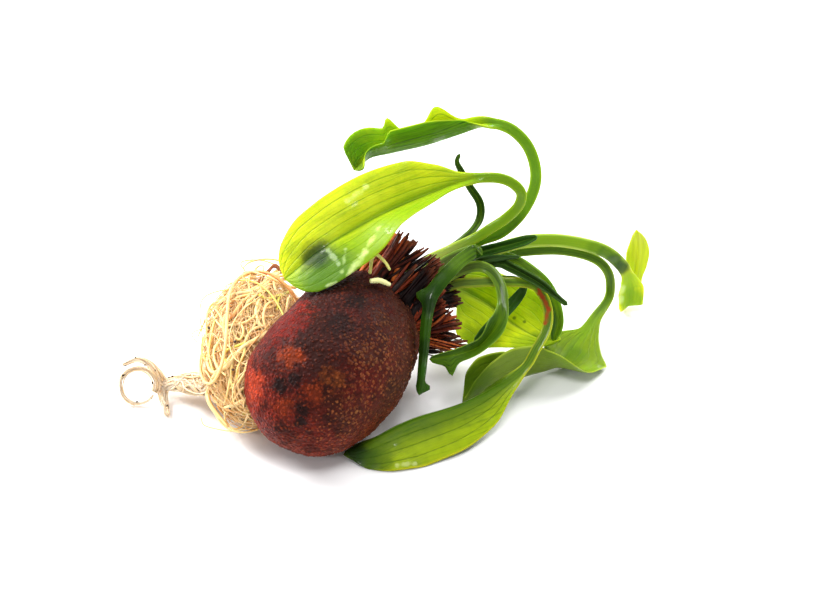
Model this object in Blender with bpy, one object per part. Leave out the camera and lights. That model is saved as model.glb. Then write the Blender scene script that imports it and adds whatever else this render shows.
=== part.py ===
"""An aponogeton, a water plant, lying loose on a table.

A tuber carries a collar of old fibres at its crown, fourteen leaves, a tangle of roots along its left
flank and two fresh roots. X runs to the right, Y away from the viewer and Z up. Lengths are written in
millimetres and become metres where a mesh is made. The plant is modelled round the point on the table
under the middle of its tuber, and the last step moves it so that the middle of its footprint is the origin.
"""

import math
import random
from dataclasses import dataclass, field

import bmesh
import bpy
import numpy as np
from mathutils import Vector

MM = 0.001
GAP = 0.35

# The tuber, an egg that lies on its side with its crown turned back and to the right.
TUBER_CENTRE = Vector((0.3, 1.9, 11.75))
TUBER_AXIS = Vector((0.533, 0.829, 0.168)).normalized()
TUBER_LENGTH = 33.8
TUBER_RADIUS = 12.0
TUBER_TAPER = 0.06
# Slow lumps on the tuber: how high each is as a share of the radius, its waves round and its waves along.
TUBER_LUMPS = ((0.012, 3, 2), (0.010, 2, 5))
TUBER_SIDES = 28
TUBER_RINGS = 18

# The collar of fibres, a ring round the crown with rows of bristles on its rim. The profile goes round the
# ring's section as pairs of radius and height, and the rows give each bristle's splay in degrees and length.
# A bristle tapers in two equal steps, of which each leaves a share of the width before it.
COLLAR_CENTRE = Vector((11.3, 14.5, 14.8))
COLLAR_AXIS = Vector((0.72, 0.64, 0.2)).normalized()
COLLAR_COLUMNS = 24
COLLAR_PROFILE = ((6.9, -5.0), (7.0, -1.0), (6.5, -0.2), (5.9, 0.5), (5.3, 0.9), (4.9, 0.2), (4.9, -3.0))
COLLAR_BRISTLE_ROWS = {1: (32.0, 5.4), 2: (24.0, 6.6), 3: (16.0, 7.0)}
BRISTLE_SEED = 11
BRISTLE_SPLAY_SPREAD = 5.0
BRISTLE_SHORTEST = 0.7
BRISTLE_LONGEST = 1.2
BRISTLE_INSET = 0.12
BRISTLE_TAPER = (0.7, 0.14)

# The tangle of roots, an egg along the tuber's left flank.
ROOT_MASS_CENTRE = Vector((-13.2, 10.6, 6.6))
ROOT_MASS_HALF = Vector((8.2, 15.6, 7.6))
ROOT_CLEARANCE = 0.12
# Ridges along the egg: how high each is as a share of the radius, its waves round and its waves along.
ROOT_RIDGES = ((0.05, 7, 4), (0.04, 4, -6))
ROOT_SIDES = 28
ROOT_RINGS = 16

# The bundle of roots that runs out to the left, its two branches and the ring that one of them makes.
ROOT_NECK = [(-22.4, 6.0, 3.4), (-24.0, 6.6, 2.8), (-26.3, 6.9, 2.4), (-27.8, 7.0, 2.2)]
ROOT_NECK_RADII = (1.3, 1.05, 0.8, 0.7)
ROOT_UPPER = [(-27.0, 6.9, 2.4), (-28.4, 8.0, 3.6), (-30.2, 9.2, 4.6), (-32.2, 9.8, 5.1), (-34.6, 9.4, 4.3)]
ROOT_UPPER_RADII = (0.5, 0.4, 0.35, 0.3)
ROOT_LOWER = [(-27.0, 6.9, 2.2), (-27.6, 5.4, 1.2), (-27.4, 3.6, 0.6), (-27.0, 1.4, 0.5)]
ROOT_LOWER_RADII = (0.5, 0.4, 0.3)
RING_CENTRE = np.array([-31.9, 6.0, 2.7])
RING_RADIUS = 2.8
RING_TUBE_RADII = (0.45, 0.35, 0.3)
# The ring lies in the plane of these two directions, from one angle in degrees to another.
RING_RIGHTWARD = np.array([1.0, 0.0, 0.0])
RING_UPWARD = np.array([0.0, 0.64, 0.77])
RING_ANGLES = (-20.0, 320.0)
RING_POINTS = 14

YOUNG_ROOT_FAT = [(5.9, 7.4, 23.6), (7.4, 8.1, 23.1), (9.1, 8.0, 22.3)]
YOUNG_ROOT_FAT_RADII = (0.35, 0.42, 0.42, 0.3)
YOUNG_ROOT_LOOP = [
    (5.8, 10.0, 22.9), (6.2, 11.2, 25.0), (6.9, 11.7, 25.4), (8.2, 11.4, 24.2), (9.0, 10.8, 23.0),
]
YOUNG_ROOT_LOOP_RADII = (0.25, 0.27, 0.27, 0.22)

# The number of points across a leaf from margin to margin.
ACROSS = 5
# A stalk's upper side is hollowed by this share of its depth.
STALK_CHANNEL = 0.45
# The tissue thins from the stalk's depth to the blade's thickness over this share of the blade.
THINNING_SHARE = 0.2

# The number of steps in which a curve runs from one of its points to the next.
CURVE_STEPS = 24

TUBER_COLOUR = (0.16, 0.03, 0.015)
FIBRE_COLOUR = (0.11, 0.02, 0.01)
ROOT_COLOUR = (0.75, 0.60, 0.38)
TAIL_COLOUR = (0.72, 0.56, 0.34)
YOUNG_ROOT_FAT_COLOUR = (0.72, 0.66, 0.36)
YOUNG_ROOT_LOOP_COLOUR = (0.55, 0.50, 0.12)

VIEWER = (0.0, -0.77, 0.64)


@dataclass
class Leaf:
    """A leaf from its base to its tip.

    route holds points of its middle line. The other tables give values at places along it, where 2.5 is
    half way from the route's point 2 to its point 3. faces says which way the upper side looks. edges gives
    the width of the right and the left half, folds the angle in degrees that each half is folded up from
    flat at the midrib, and curls the angle that it bends on by its margin. The right half is the one on the
    right hand of someone who walks along the leaf to its tip on its upper side. lobes adds to the width of
    the right (1) or the left (-1) half round a place: place, side, width and how far it spreads before and
    after. depth is the stalk's and thickness the blade's, which starts at the place blade_from.
    """

    route: list
    edges: list
    faces: list = field(default_factory=lambda: [(0.0, VIEWER)])
    folds: list = field(default_factory=lambda: [(0.0, (0.0, 0.0))])
    curls: list = field(default_factory=lambda: [(0.0, (0.0, 0.0))])
    lobes: list = field(default_factory=list)
    depth: float = 0.95
    thickness: float = 0.42
    blade_from: float = 99.0
    ruffle: tuple = (0.0, 1.0)
    stations: int = 22
    colour: tuple = (0.13, 0.30, 0.03)


LEAVES = {
    "leaf_over_tuber": Leaf(
        route=[
            (11.8, 15.6, 18.8), (15.4, 17.6, 19.8), (19.0, 19.3, 20.5), (22.5, 19.8, 22.2),
            (25.0, 20.1, 24.0), (27.5, 20.5, 25.8), (29.5, 20.8, 28.2), (29.8, 21.2, 30.6),
            (27.8, 21.6, 32.5), (24.8, 21.6, 33.2), (20.9, 21.3, 32.7), (13.5, 19.5, 30.6),
            (6.3, 16.7, 28.6), (-1.2, 12.2, 26.5), (-7.6, 8.6, 22.9),
        ],
        edges=[
            (0, (0.85, 0.85)), (9.4, (0.85, 0.85)), (10, (1.5, 1.2)), (10.5, (4.2, 2.6)), (11, (6.4, 4.6)),
            (12, (7.3, 6.8)), (13, (6.8, 7.0)), (13.6, (5.2, 6.0)), (13.85, (3.4, 4.2)), (14, (1.2, 1.4)),
        ],
        faces=[(0, VIEWER), (10, VIEWER), (12, (-0.2, -0.77, 0.6)), (14, (-0.45, -0.7, 0.55))],
        folds=[(9, (0, 0)), (10.5, (5, 68)), (11.5, (8, 66)), (12.6, (6, 32)), (14, (0, 16))],
        curls=[(10, (0, 0)), (12, (-14, -10)), (14, (-10, 0))],
        blade_from=9.4,
        stations=26,
        colour=(0.42, 0.58, 0.03),
    ),
    "leaf_top_rolled": Leaf(
        route=[
            (10.3, 16.9, 15.9), (15.0, 19.3, 17.0), (19.0, 21.2, 18.0), (23.5, 22.3, 19.9),
            (27.0, 22.7, 21.3), (30.2, 24.2, 24.0), (32.2, 26.5, 27.2), (32.4, 28.9, 29.8),
            (31.0, 31.0, 32.8), (28.1, 32.2, 35.2), (24.6, 32.3, 35.9), (21.0, 32.2, 34.6),
            (15.2, 31.1, 33.0), (9.4, 30.4, 31.8), (5.6, 30.0, 31.0), (3.0, 28.5, 29.4),
        ],
        edges=[
            (0, (0.95, 0.95)), (9.5, (0.95, 0.95)), (10.3, (1.6, 1.8)), (11, (2.3, 3.2)), (12, (3.2, 4.9)),
            (12.9, (3.4, 5.0)), (13.3, (4.5, 3.7)), (14, (5.0, 3.0)), (14.6, (4.0, 2.5)), (15, (0.8, 0.8)),
        ],
        faces=[(0, VIEWER), (8.5, VIEWER), (11, (0.0, -0.1, 1.0)), (15, (0.0, -0.1, 1.0))],
        folds=[
            (9, (0, 0)), (11, (74, 58)), (13, (72, 56)), (13.4, (70, 60)), (14, (66, 62)), (15, (40, 20)),
        ],
        curls=[
            (9.5, (0, 0)), (11, (14, 50)), (12, (12, 70)), (12.9, (8, 66)), (13.3, (0, 16)), (15, (0, 0)),
        ],
        lobes=[(11.55, 1, 3.5, 0.36, 0.34), (12.93, 1, 3.0, 0.22, 0.18)],
        depth=1.0,
        blade_from=9.6,
        ruffle=(0.3, 3.2),
        stations=28,
        colour=(0.10, 0.28, 0.03),
    ),
    "leaf_front": Leaf(
        route=[
            (14.8, 13.9, 14.2), (19.0, 15.4, 16.1), (22.6, 15.4, 16.7), (27.4, 15.2, 17.0),
            (31.6, 15.0, 16.7), (33.4, 14.2, 15.3), (34.4, 12.4, 13.0), (34.0, 10.0, 11.0),
            (32.3, 7.4, 9.2), (30.8, 5.6, 7.4), (28.2, 3.6, 6.2), (25.5, 2.1, 5.6), (22.8, 0.5, 5.3),
            (17.7, -2.2, 5.1), (12.2, -4.4, 4.6), (7.2, -6.8, 3.6), (4.0, -7.8, 2.2), (1.6, -8.2, 0.9),
        ],
        edges=[
            (0, (0.8, 0.8)), (9, (0.8, 0.8)), (10, (1.4, 1.8)), (11, (2.8, 3.8)), (12, (4.4, 5.6)),
            (13, (6.0, 7.2)), (14, (5.4, 7.6)), (15, (3.4, 6.2)), (16, (1.5, 4.0)), (17, (0.4, 0.6)),
        ],
        faces=[
            (0, VIEWER), (7, (-0.2, -0.6, 0.7)), (9.5, (-0.3, -0.55, 0.8)), (12, (0, -0.57, 0.82)),
            (17, (0, -0.5, 0.86)),
        ],
        folds=[(9, (0, 0)), (11, (-60, 0)), (12, (-78, 0)), (15, (-72, 0)), (17, (-30, 0))],
        curls=[(9, (0, 0)), (12, (-16, -10)), (17, (-10, -8))],
        depth=0.9,
        blade_from=9.0,
        stations=28,
        colour=(0.20, 0.42, 0.02),
    ),
    "leaf_long_arch": Leaf(
        route=[
            (12.3, 15.7, 14.6), (15.8, 17.6, 15.5), (19.0, 19.1, 16.4), (22.0, 20.2, 17.4),
            (26.8, 22.0, 18.5), (31.0, 23.5, 18.7), (35.5, 25.0, 17.8), (40.0, 26.1, 16.2),
            (44.0, 26.9, 14.1), (46.5, 27.1, 11.8), (48.2, 27.5, 8.7), (49.0, 27.8, 4.8), (48.9, 27.3, 1.8),
            (49.4, 29.3, 1.6), (50.1, 30.7, 4.9), (50.3, 30.7, 9.2), (50.2, 30.2, 13.0), (49.5, 28.8, 17.0),
        ],
        edges=[
            (0, (0.95, 0.95)), (9, (1.1, 1.1)), (10, (1.0, 1.1)), (10.5, (1.6, 1.8)), (11, (2.3, 2.5)),
            (12, (1.7, 2.5)), (13, (1.4, 1.6)), (14, (1.1, 1.3)), (14.6, (1.8, 1.8)), (15.2, (2.0, 2.0)),
            (16, (1.5, 1.5)), (16.6, (0.8, 0.8)), (17, (0.15, 0.15)),
        ],
        faces=[
            (0, VIEWER), (9, VIEWER), (11, (0.3, -0.9, 0.2)), (12, (0.2, -0.95, 0.1)),
            (13, (0.1, -0.4, -0.9)), (14, (0, 0.9, -0.4)), (17, (0, 0.9, 0.3)),
        ],
        folds=[(9, (0, 0)), (11, (12, 12)), (17, (8, 8))],
        thickness=0.36,
        blade_from=9.0,
        stations=30,
        colour=(0.20, 0.42, 0.03),
    ),
    "leaf_folded": Leaf(
        route=[
            (10.7, 17.3, 12.0), (14.8, 19.6, 12.7), (19.0, 21.5, 13.4), (22.0, 22.4, 14.2),
            (25.2, 23.4, 15.0), (28.5, 24.4, 15.4), (32.7, 25.4, 15.2), (37.0, 26.6, 14.3),
            (41.0, 27.3, 12.8), (43.6, 27.3, 11.3), (45.1, 26.9, 9.4), (45.6, 26.4, 7.2), (45.3, 25.6, 4.6),
            (43.2, 23.5, 2.7), (41.5, 20.8, 2.0), (39.9, 18.4, 1.6), (38.5, 16.2, 1.2), (37.2, 14.2, 0.8),
            (34.8, 12.6, 0.6), (31.4, 11.3, 0.5), (28.1, 9.5, 0.5), (24.9, 7.5, 0.5), (20.6, 4.4, 0.6),
        ],
        edges=[
            (0, (0.78, 0.78)), (12, (0.8, 0.8)), (13, (0.9, 1.2)), (14, (1.1, 2.4)), (15, (3.4, 4.6)),
            (16, (4.6, 6.9)), (17, (4.2, 6.9)), (18, (3.4, 6.6)), (19, (3.6, 6.9)), (20, (5.3, 7.8)),
            (21, (5.8, 6.8)), (21.6, (4.4, 4.2)), (22, (0.5, 0.5)),
        ],
        faces=[
            (0, VIEWER), (10, VIEWER), (13, (-0.4, -0.5, 0.75)), (15, (-0.1, -0.3, 0.95)), (17, (0, 0, 1)),
            (22, (0, 0, 1)),
        ],
        folds=[
            (12, (0, 0)), (14, (4, 0)), (16, (12, -6)), (17, (30, 6)), (18, (50, 50)), (19, (60, 72)),
            (22, (58, 70)),
        ],
        curls=[(15, (0, 0)), (16, (0, 10)), (18, (0, 26)), (22, (8, 26))],
        depth=0.9,
        blade_from=12.0,
        stations=32,
        colour=(0.22, 0.42, 0.05),
    ),
    "leaf_broad_back": Leaf(
        route=[
            (12.4, 16.3, 12.0), (15.8, 18.2, 12.0), (18.6, 19.9, 11.6), (20.4, 20.9, 10.6),
            (22.9, 20.8, 9.2), (25.6, 20.4, 7.4), (28.3, 18.9, 5.8), (30.1, 17.8, 5.0), (32.5, 16.5, 4.3),
            (35.0, 15.6, 4.1), (37.0, 15.6, 4.6),
        ],
        edges=[
            (0, (0.8, 0.8)), (2, (0.9, 0.9)), (2.4, (1.4, 1.2)), (3, (4.3, 3.5)), (4, (7.8, 5.0)),
            (5, (8.2, 5.8)), (6, (6.6, 6.6)), (7, (4.6, 6.8)), (8, (2.6, 5.4)), (9, (1.3, 3.2)),
            (10, (0.4, 0.6)),
        ],
        faces=[(0, VIEWER), (3, (0, -0.62, 0.78)), (7, (0, -0.55, 0.83)), (10, (0.1, -0.1, 1))],
        folds=[(2, (0, 0)), (5, (14, 8)), (10, (10, 4))],
        depth=0.9,
        blade_from=2.0,
        stations=18,
        colour=(0.50, 0.62, 0.02),
    ),
    "leaf_ribbon_arch": Leaf(
        route=[
            (11.5, 16.6, 13.6), (15.2, 18.7, 14.3), (19.0, 20.4, 15.0), (22.0, 21.2, 15.8),
            (25.0, 21.9, 16.5), (27.6, 21.7, 17.0), (29.6, 20.8, 16.9), (31.8, 19.3, 16.3),
            (33.6, 17.7, 15.4), (35.0, 16.0, 13.9), (35.9, 14.6, 11.8), (36.2, 13.8, 9.3),
            (35.4, 12.8, 6.4),
        ],
        edges=[(0, (0.75, 0.75)), (7, (0.75, 0.75)), (9, (1.0, 1.0)), (11.4, (1.0, 1.0)), (12, (0.4, 0.4))],
        folds=[(7, (0, 0)), (10, (25, 25)), (12, (30, 30))],
        depth=0.85,
        blade_from=7.0,
        stations=20,
        colour=(0.09, 0.26, 0.04),
    ),
    "leaf_dark_strap": Leaf(
        route=[
            (13.2, 14.6, 17.6), (16.0, 16.1, 18.8), (19.0, 17.4, 20.1), (21.8, 17.6, 21.3),
            (23.1, 16.8, 22.3), (22.3, 15.3, 23.2), (20.3, 13.4, 23.0), (18.6, 11.3, 22.6),
            (16.8, 9.1, 21.8), (15.4, 6.9, 20.8), (15.0, 4.9, 19.5), (14.7, 3.0, 17.7), (14.5, 0.9, 15.5),
            (14.2, -0.8, 13.2), (13.9, -2.1, 10.9), (13.6, -3.1, 8.9),
        ],
        edges=[
            (0, (0.9, 0.9)), (3, (1.0, 1.0)), (6, (1.1, 1.1)), (8.6, (1.2, 1.2)), (9.4, (1.4, 1.4)),
            (10, (1.5, 1.4)), (13, (1.4, 1.3)), (14.3, (1.0, 1.1)), (15, (0.3, 0.3)),
        ],
        faces=[
            (0, VIEWER), (3, VIEWER), (4, (0.6, -0.2, 0.75)), (5.4, (0.1, 0.77, -0.6)),
            (15, (0, 0.8, -0.4)),
        ],
        folds=[(8, (0, 0)), (10, (60, 50)), (14, (62, 56)), (15, (20, 30))],
        lobes=[(9.05, -1, 1.3, 0.3, 0.22), (14.5, 1, 1.5, 0.3, 0.2)],
        depth=0.8,
        blade_from=6.0,
        ruffle=(0.15, 1.5),
        stations=26,
        colour=(0.04, 0.17, 0.03),
    ),
    "leaf_loop": Leaf(
        route=[
            (14.5, 13.8, 16.3), (16.6, 14.6, 17.2), (19.0, 15.6, 18.3), (21.2, 16.1, 19.1),
            (23.4, 16.2, 19.4), (25.3, 15.2, 19.0), (26.6, 13.4, 17.8), (27.0, 11.3, 16.2),
            (26.6, 9.2, 14.6), (25.3, 7.4, 13.1), (23.0, 5.7, 11.4), (20.0, 4.9, 10.6), (17.5, 4.6, 10.2),
            (15.2, 4.4, 9.9),
        ],
        edges=[
            (0, (0.9, 0.9)), (7, (0.9, 0.9)), (8, (1.4, 1.3)), (9, (2.4, 1.8)), (10, (2.0, 1.5)),
            (11, (1.0, 1.3)), (12, (0.9, 1.4)), (13, (0.4, 0.6)),
        ],
        faces=[(0, VIEWER), (7.5, VIEWER), (9.5, (0, -0.55, 0.83)), (13, (0, -0.45, 0.9))],
        folds=[(7, (0, 0)), (9.5, (58, 40)), (11, (50, 0)), (13, (40, -30))],
        curls=[(7, (0, 0)), (9.5, (26, 0)), (11, (10, -20)), (13, (10, -20))],
        lobes=[(11.7, -1, 2.0, 0.36, 0.22)],
        blade_from=7.0,
        ruffle=(0.3, 2.4),
        stations=26,
        colour=(0.06, 0.22, 0.03),
    ),
    "leaf_grooved_roll": Leaf(
        route=[
            (13.6, 15.1, 15.5), (16.4, 16.3, 15.7), (19.0, 17.4, 16.3), (21.3, 18.1, 17.0),
            (23.8, 18.3, 18.1), (26.6, 17.8, 18.8), (28.5, 16.5, 18.8), (31.0, 14.9, 18.4),
            (33.4, 13.3, 17.8), (37.4, 10.7, 15.8),
        ],
        edges=[(0, (0.65, 0.65)), (4, (0.7, 0.7)), (6, (1.2, 1.2)), (8, (1.1, 1.1)), (9, (0.25, 0.25))],
        folds=[(4, (20, 20)), (9, (30, 30))],
        curls=[(3, (0, 0)), (6, (64, 64)), (9, (50, 50))],
        depth=0.8,
        blade_from=4.0,
        stations=15,
        colour=(0.03, 0.10, 0.02),
    ),
    "leaf_blunt_roll": Leaf(
        route=[
            (12.0, 15.7, 16.7), (15.5, 17.6, 17.6), (19.0, 19.2, 18.4), (23.5, 19.7, 19.5),
            (28.3, 19.9, 20.9), (32.8, 20.5, 22.1),
        ],
        edges=[(0, (0.6, 0.6)), (2, (0.7, 0.7)), (3, (1.3, 1.3)), (4.5, (1.2, 1.2)), (5, (0.4, 0.4))],
        folds=[(2, (0, 0)), (3, (22, 22)), (5, (25, 25))],
        curls=[(2, (0, 0)), (3, (56, 56)), (5, (50, 50))],
        depth=0.8,
        blade_from=2.0,
        stations=12,
        colour=(0.04, 0.15, 0.03),
    ),
    "leaf_short_tip": Leaf(
        route=[
            (13.5, 14.8, 16.5), (16.2, 16.2, 17.2), (19.0, 17.5, 17.8), (22.5, 17.5, 19.1),
            (25.5, 17.2, 20.2), (29.9, 16.8, 20.9),
        ],
        edges=[(0, (0.5, 0.5)), (4, (0.6, 0.6)), (5, (0.2, 0.2))],
        folds=[(1, (0, 0)), (4, (20, 20))],
        depth=0.7,
        blade_from=3.0,
        stations=10,
        colour=(0.03, 0.10, 0.02),
    ),
    "leaf_thin_upright": Leaf(
        route=[
            (10.8, 16.3, 17.9), (15.0, 18.6, 19.0), (19.0, 20.6, 20.0), (20.8, 21.8, 20.7),
            (22.4, 23.0, 21.6), (23.5, 24.4, 23.0), (23.4, 25.6, 25.1), (21.8, 26.5, 27.6),
            (20.5, 27.5, 29.8), (19.7, 28.2, 31.4), (20.2, 28.7, 32.7),
        ],
        edges=[(0, (0.5, 0.5)), (4, (0.6, 0.6)), (6, (0.8, 0.8)), (8, (0.6, 0.6)), (10, (0.25, 0.25))],
        folds=[(3, (0, 0)), (6, (40, 40)), (10, (30, 30))],
        depth=0.8,
        blade_from=4.0,
        stations=18,
        colour=(0.04, 0.14, 0.03),
    ),
    "leaf_back_roll": Leaf(
        route=[
            (13.9, 15.2, 13.2), (16.4, 16.7, 13.8), (19.0, 17.9, 14.4), (24.3, 18.2, 14.7),
            (27.3, 18.5, 14.8), (29.5, 18.6, 14.5), (30.6, 18.0, 13.6), (29.8, 17.0, 12.5),
            (27.6, 15.1, 10.9), (25.1, 13.2, 9.4), (22.5, 11.2, 7.8),
        ],
        edges=[(0, (0.6, 0.6)), (6, (0.65, 0.65)), (8, (1.1, 1.1)), (9.4, (0.9, 0.9)), (10, (0.25, 0.25))],
        folds=[(6, (0, 0)), (8, (30, 30)), (10, (40, 40))],
        depth=0.8,
        blade_from=6.0,
        stations=20,
        colour=(0.04, 0.14, 0.02),
    ),
}


def clear_scene():
    for obj in list(bpy.data.objects):
        bpy.data.objects.remove(obj)


def make_collection(name, hidden=False):
    collection = bpy.data.collections.new(name)
    bpy.context.scene.collection.children.link(collection)
    collection.hide_render = hidden
    return collection


def make_material(name, colour, roughness):
    material = bpy.data.materials.new(name)
    material.use_nodes = True
    shader = material.node_tree.nodes["Principled BSDF"]
    shader.inputs["Base Color"].default_value = (*colour, 1.0)
    shader.inputs["Roughness"].default_value = roughness
    shader.inputs["Metallic"].default_value = 0.0
    material.diffuse_color = (*colour, 1.0)
    return material


def add_object(name, mesh, collection, colour, roughness=0.4):
    mesh.shade_smooth()
    mesh.materials.append(make_material(name, colour, roughness))
    obj = bpy.data.objects.new(name, mesh)
    collection.objects.link(obj)
    return obj


def add_cutter(name, mesh, collection):
    cutter = bpy.data.objects.new(name, mesh)
    collection.objects.link(cutter)
    cutter.display_type = "WIRE"
    cutter.hide_render = True
    return cutter


def add_boolean(obj, other, operation):
    modifier = obj.modifiers.new(operation.title(), "BOOLEAN")
    modifier.operation = operation
    modifier.solver = "EXACT"
    modifier.object = other


def cut_level(form, height):
    """Takes away what is below a height in metres and closes the form there with a flat face."""
    parts = form.verts[:] + form.edges[:] + form.faces[:]
    cut = bmesh.ops.bisect_plane(
        form, geom=parts, plane_co=(0, 0, height), plane_no=(0, 0, -1), clear_outer=True
    )
    rim = [part for part in cut["geom_cut"] if isinstance(part, bmesh.types.BMEdge)]
    bmesh.ops.contextual_create(form, geom=rim)


def mesh_of(name, form):
    """The form as a mesh with its faces turned outwards."""
    form.normal_update()
    bmesh.ops.recalc_face_normals(form, faces=form.faces)
    mesh = bpy.data.meshes.new(name)
    form.to_mesh(mesh)
    form.free()
    return mesh


def mesh_from(name, points, faces):
    """A mesh in metres from points in millimetres, with its faces turned outwards."""
    form = bmesh.new()
    corners = [form.verts.new(p) for p in np.asarray(points) * MM]
    for face in faces:
        form.faces.new([corners[k] for k in face])
    return mesh_of(name, form)


def curve_through(points, count, also=()):
    """Points along a smooth curve through the given points, and where each one lies.

    There are count points at even distances, and one more at each of the places in also.
    """
    knots = np.asarray(points, float)
    padded = np.vstack([2 * knots[0] - knots[1], knots, 2 * knots[-1] - knots[-2]])
    steps = np.linspace(0.0, 1.0, CURVE_STEPS, endpoint=False)[:, None]
    pieces = []
    for a, b, c, d in zip(padded, padded[1:], padded[2:], padded[3:]):
        bend = 2 * a - 5 * b + 4 * c - d
        twist = -a + 3 * b - 3 * c + d
        pieces.append(0.5 * (2 * b + (c - a) * steps + bend * steps**2 + twist * steps**3))
    fine = np.vstack([*pieces, knots[-1:]])
    travelled = np.concatenate([[0.0], np.cumsum(np.linalg.norm(np.diff(fine, axis=0), axis=1))])
    places = np.linspace(0.0, len(knots) - 1, len(fine))
    even = np.linspace(0.0, travelled[-1], count)
    wanted = np.sort(np.concatenate([even, np.interp(also, places, travelled)]))
    centre = np.stack([np.interp(wanted, travelled, fine[:, k]) for k in range(3)], axis=1)
    return centre, np.interp(wanted, travelled, places)


def smooth_keys(keys, place):
    """The value at each place, on a smooth line through the keys that stays between neighbouring keys."""
    x = np.array([k[0] for k in keys], float)
    y = np.array([k[1] for k in keys], float)
    if len(keys) == 1:
        return np.repeat(y, len(place), axis=0)
    slope = np.diff(y, axis=0) / np.diff(x)[:, None]
    tangent = np.zeros_like(y)
    before, after = slope[:-1], slope[1:]
    total = before + after
    same_way = before * after > 0
    tangent[1:-1] = np.where(same_way, 2 * before * after / np.where(same_way, total, 1.0), 0.0)
    i = np.clip(np.searchsorted(x, place, side="right") - 1, 0, len(x) - 2)
    width = (x[i + 1] - x[i])[:, None]
    t = np.clip((place[:, None] - x[i][:, None]) / width, 0.0, 1.0)
    rising = t * t * (3 - 2 * t)
    start_pull = t * (1 - t) ** 2 * width * tangent[i]
    end_pull = t * t * (t - 1) * width * tangent[i + 1]
    return y[i] * (1 - rising) + y[i + 1] * rising + start_pull + end_pull


def leaf_rings(leaf):
    """The rings of points round a leaf, one at each station from its base to just short of its tip.

    A lobe has a station at its middle and at each of its feet.
    """
    lobe_places = [
        middle + step for middle, _, _, before, after in leaf.lobes for step in (-before, 0.0, after)
    ]
    centre, place = curve_through(leaf.route, leaf.stations, lobe_places)
    tip = centre[-1]
    along = np.gradient(centre, axis=0)[:-1]
    along /= np.linalg.norm(along, axis=1, keepdims=True)
    centre, place = centre[:-1], place[:-1]
    face = smooth_keys(leaf.faces, place)
    face = face - along * np.sum(face * along, axis=1, keepdims=True)
    face /= np.linalg.norm(face, axis=1, keepdims=True)
    side = np.cross(along, face)

    across = np.linspace(-1.0, 1.0, ACROSS)[None, :]
    is_right = across >= 0
    hand = np.where(is_right, 1.0, -1.0)
    reach = np.abs(across)

    def of_half(table):
        both = smooth_keys(table, place)
        return np.where(is_right, both[:, :1], both[:, 1:])

    half = of_half(leaf.edges)
    for middle, lobe_side, width, before, after in leaf.lobes:
        bell = np.exp(-(((place - middle) / np.where(place < middle, before, after)) ** 2))[:, None]
        half = half + np.where(hand == lobe_side, width * bell, 0.0)
    fold = np.radians(of_half(leaf.folds))
    curl = np.radians(of_half(leaf.curls))
    curl = np.where(np.abs(curl) < 1e-3, 1e-3, curl)
    turn = fold + curl * reach
    out = half * (np.sin(turn) - np.sin(fold)) / curl
    up = half * (np.cos(fold) - np.cos(turn)) / curl

    last = len(leaf.route) - 1
    blade = np.clip((place - leaf.blade_from) / max(last - leaf.blade_from, 1.0), 0.0, 1.0)[:, None]
    thin = np.clip(blade / THINNING_SHARE, 0.0, 1.0)
    thin = thin * thin * (3 - 2 * thin)
    depth = leaf.depth / 2 * (1 - thin) + leaf.thickness / 2 * thin
    height, waves = leaf.ruffle
    wave = height * np.sqrt(blade) * (1 - blade**6) * reach**2 * np.sin(2 * np.pi * waves * blade + hand)
    in_middle = reach < 1e-9
    normal_out = np.where(in_middle, 0.0, -hand * np.sin(turn))
    normal_up = np.where(in_middle, 1.0, np.cos(turn))

    def surface(offset):
        sideways = (hand * out + normal_out * (offset + wave))[..., None] * side[:, None, :]
        rise = (up + normal_up * (offset + wave))[..., None] * face[:, None, :]
        return centre[:, None, :] + sideways + rise

    bulge = np.sqrt(1 - across**2)
    channel = STALK_CHANNEL * (1 - thin) * (1 - across**2)
    upper = surface(depth * (bulge - channel))
    lower = surface(-depth * bulge)
    return np.concatenate([upper, lower[:, -2:0:-1]], axis=1), tip


def build_leaf(name, leaf, collection):
    """A closed loft through the leaf's rings, capped at the base and drawn to a point at the tip."""
    rings, tip = leaf_rings(leaf)
    stations, around = rings.shape[:2]
    points = np.vstack([rings.reshape(-1, 3), tip])
    faces = [tuple(range(around))]
    for i in range(stations - 1):
        for j in range(around):
            k = (j + 1) % around
            faces.append((i * around + j, i * around + k, (i + 1) * around + k, (i + 1) * around + j))
    last = (stations - 1) * around
    for j in range(around):
        faces.append((last + j, last + (j + 1) % around, stations * around))
    return add_object(name, mesh_from(name, points, faces), collection, leaf.colour, roughness=0.25)


def frame_of(axis):
    """Two directions square to an axis, the first one level."""
    level = axis.cross(Vector((0, 0, 1))).normalized()
    return level, level.cross(axis).normalized()


def wave_sum(table, angle, axial):
    """The sum of slow waves at a place on a body: each row holds a height, waves round and waves along."""
    return sum(height * math.sin(turns * angle + along * axial) for height, turns, along in table)


def tuber_point(axial, angle, lift=0.0):
    """A point on the tuber: axial is -1 at its fat end and 1 at its crown, angle 0 at its right."""
    level, top = frame_of(TUBER_AXIS)
    girth = math.sqrt(max(0.0, 1 - axial**2))
    lumps = wave_sum(TUBER_LUMPS, angle, axial)
    radius = TUBER_RADIUS * girth * (1 - TUBER_TAPER * axial) * (1 + lumps) + lift
    centre = TUBER_CENTRE + TUBER_AXIS * (axial * (TUBER_LENGTH / 2 + lift))
    return centre + (level * math.cos(angle) + top * math.sin(angle)) * radius


def tuber_mesh(name, lift, flat):
    """A ball drawn out to the tuber's shape, cut flat where it rests on the table if flat is true."""
    form = bmesh.new()
    bmesh.ops.create_uvsphere(form, u_segments=TUBER_SIDES, v_segments=TUBER_RINGS, radius=1.0)
    for vertex in form.verts:
        axial = max(-1.0, min(1.0, vertex.co.z))
        angle = math.atan2(vertex.co.y, vertex.co.x)
        vertex.co = tuber_point(axial, angle, lift) * MM
    if flat:
        cut_level(form, 0.0)
    return mesh_of(name, form)


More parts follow.
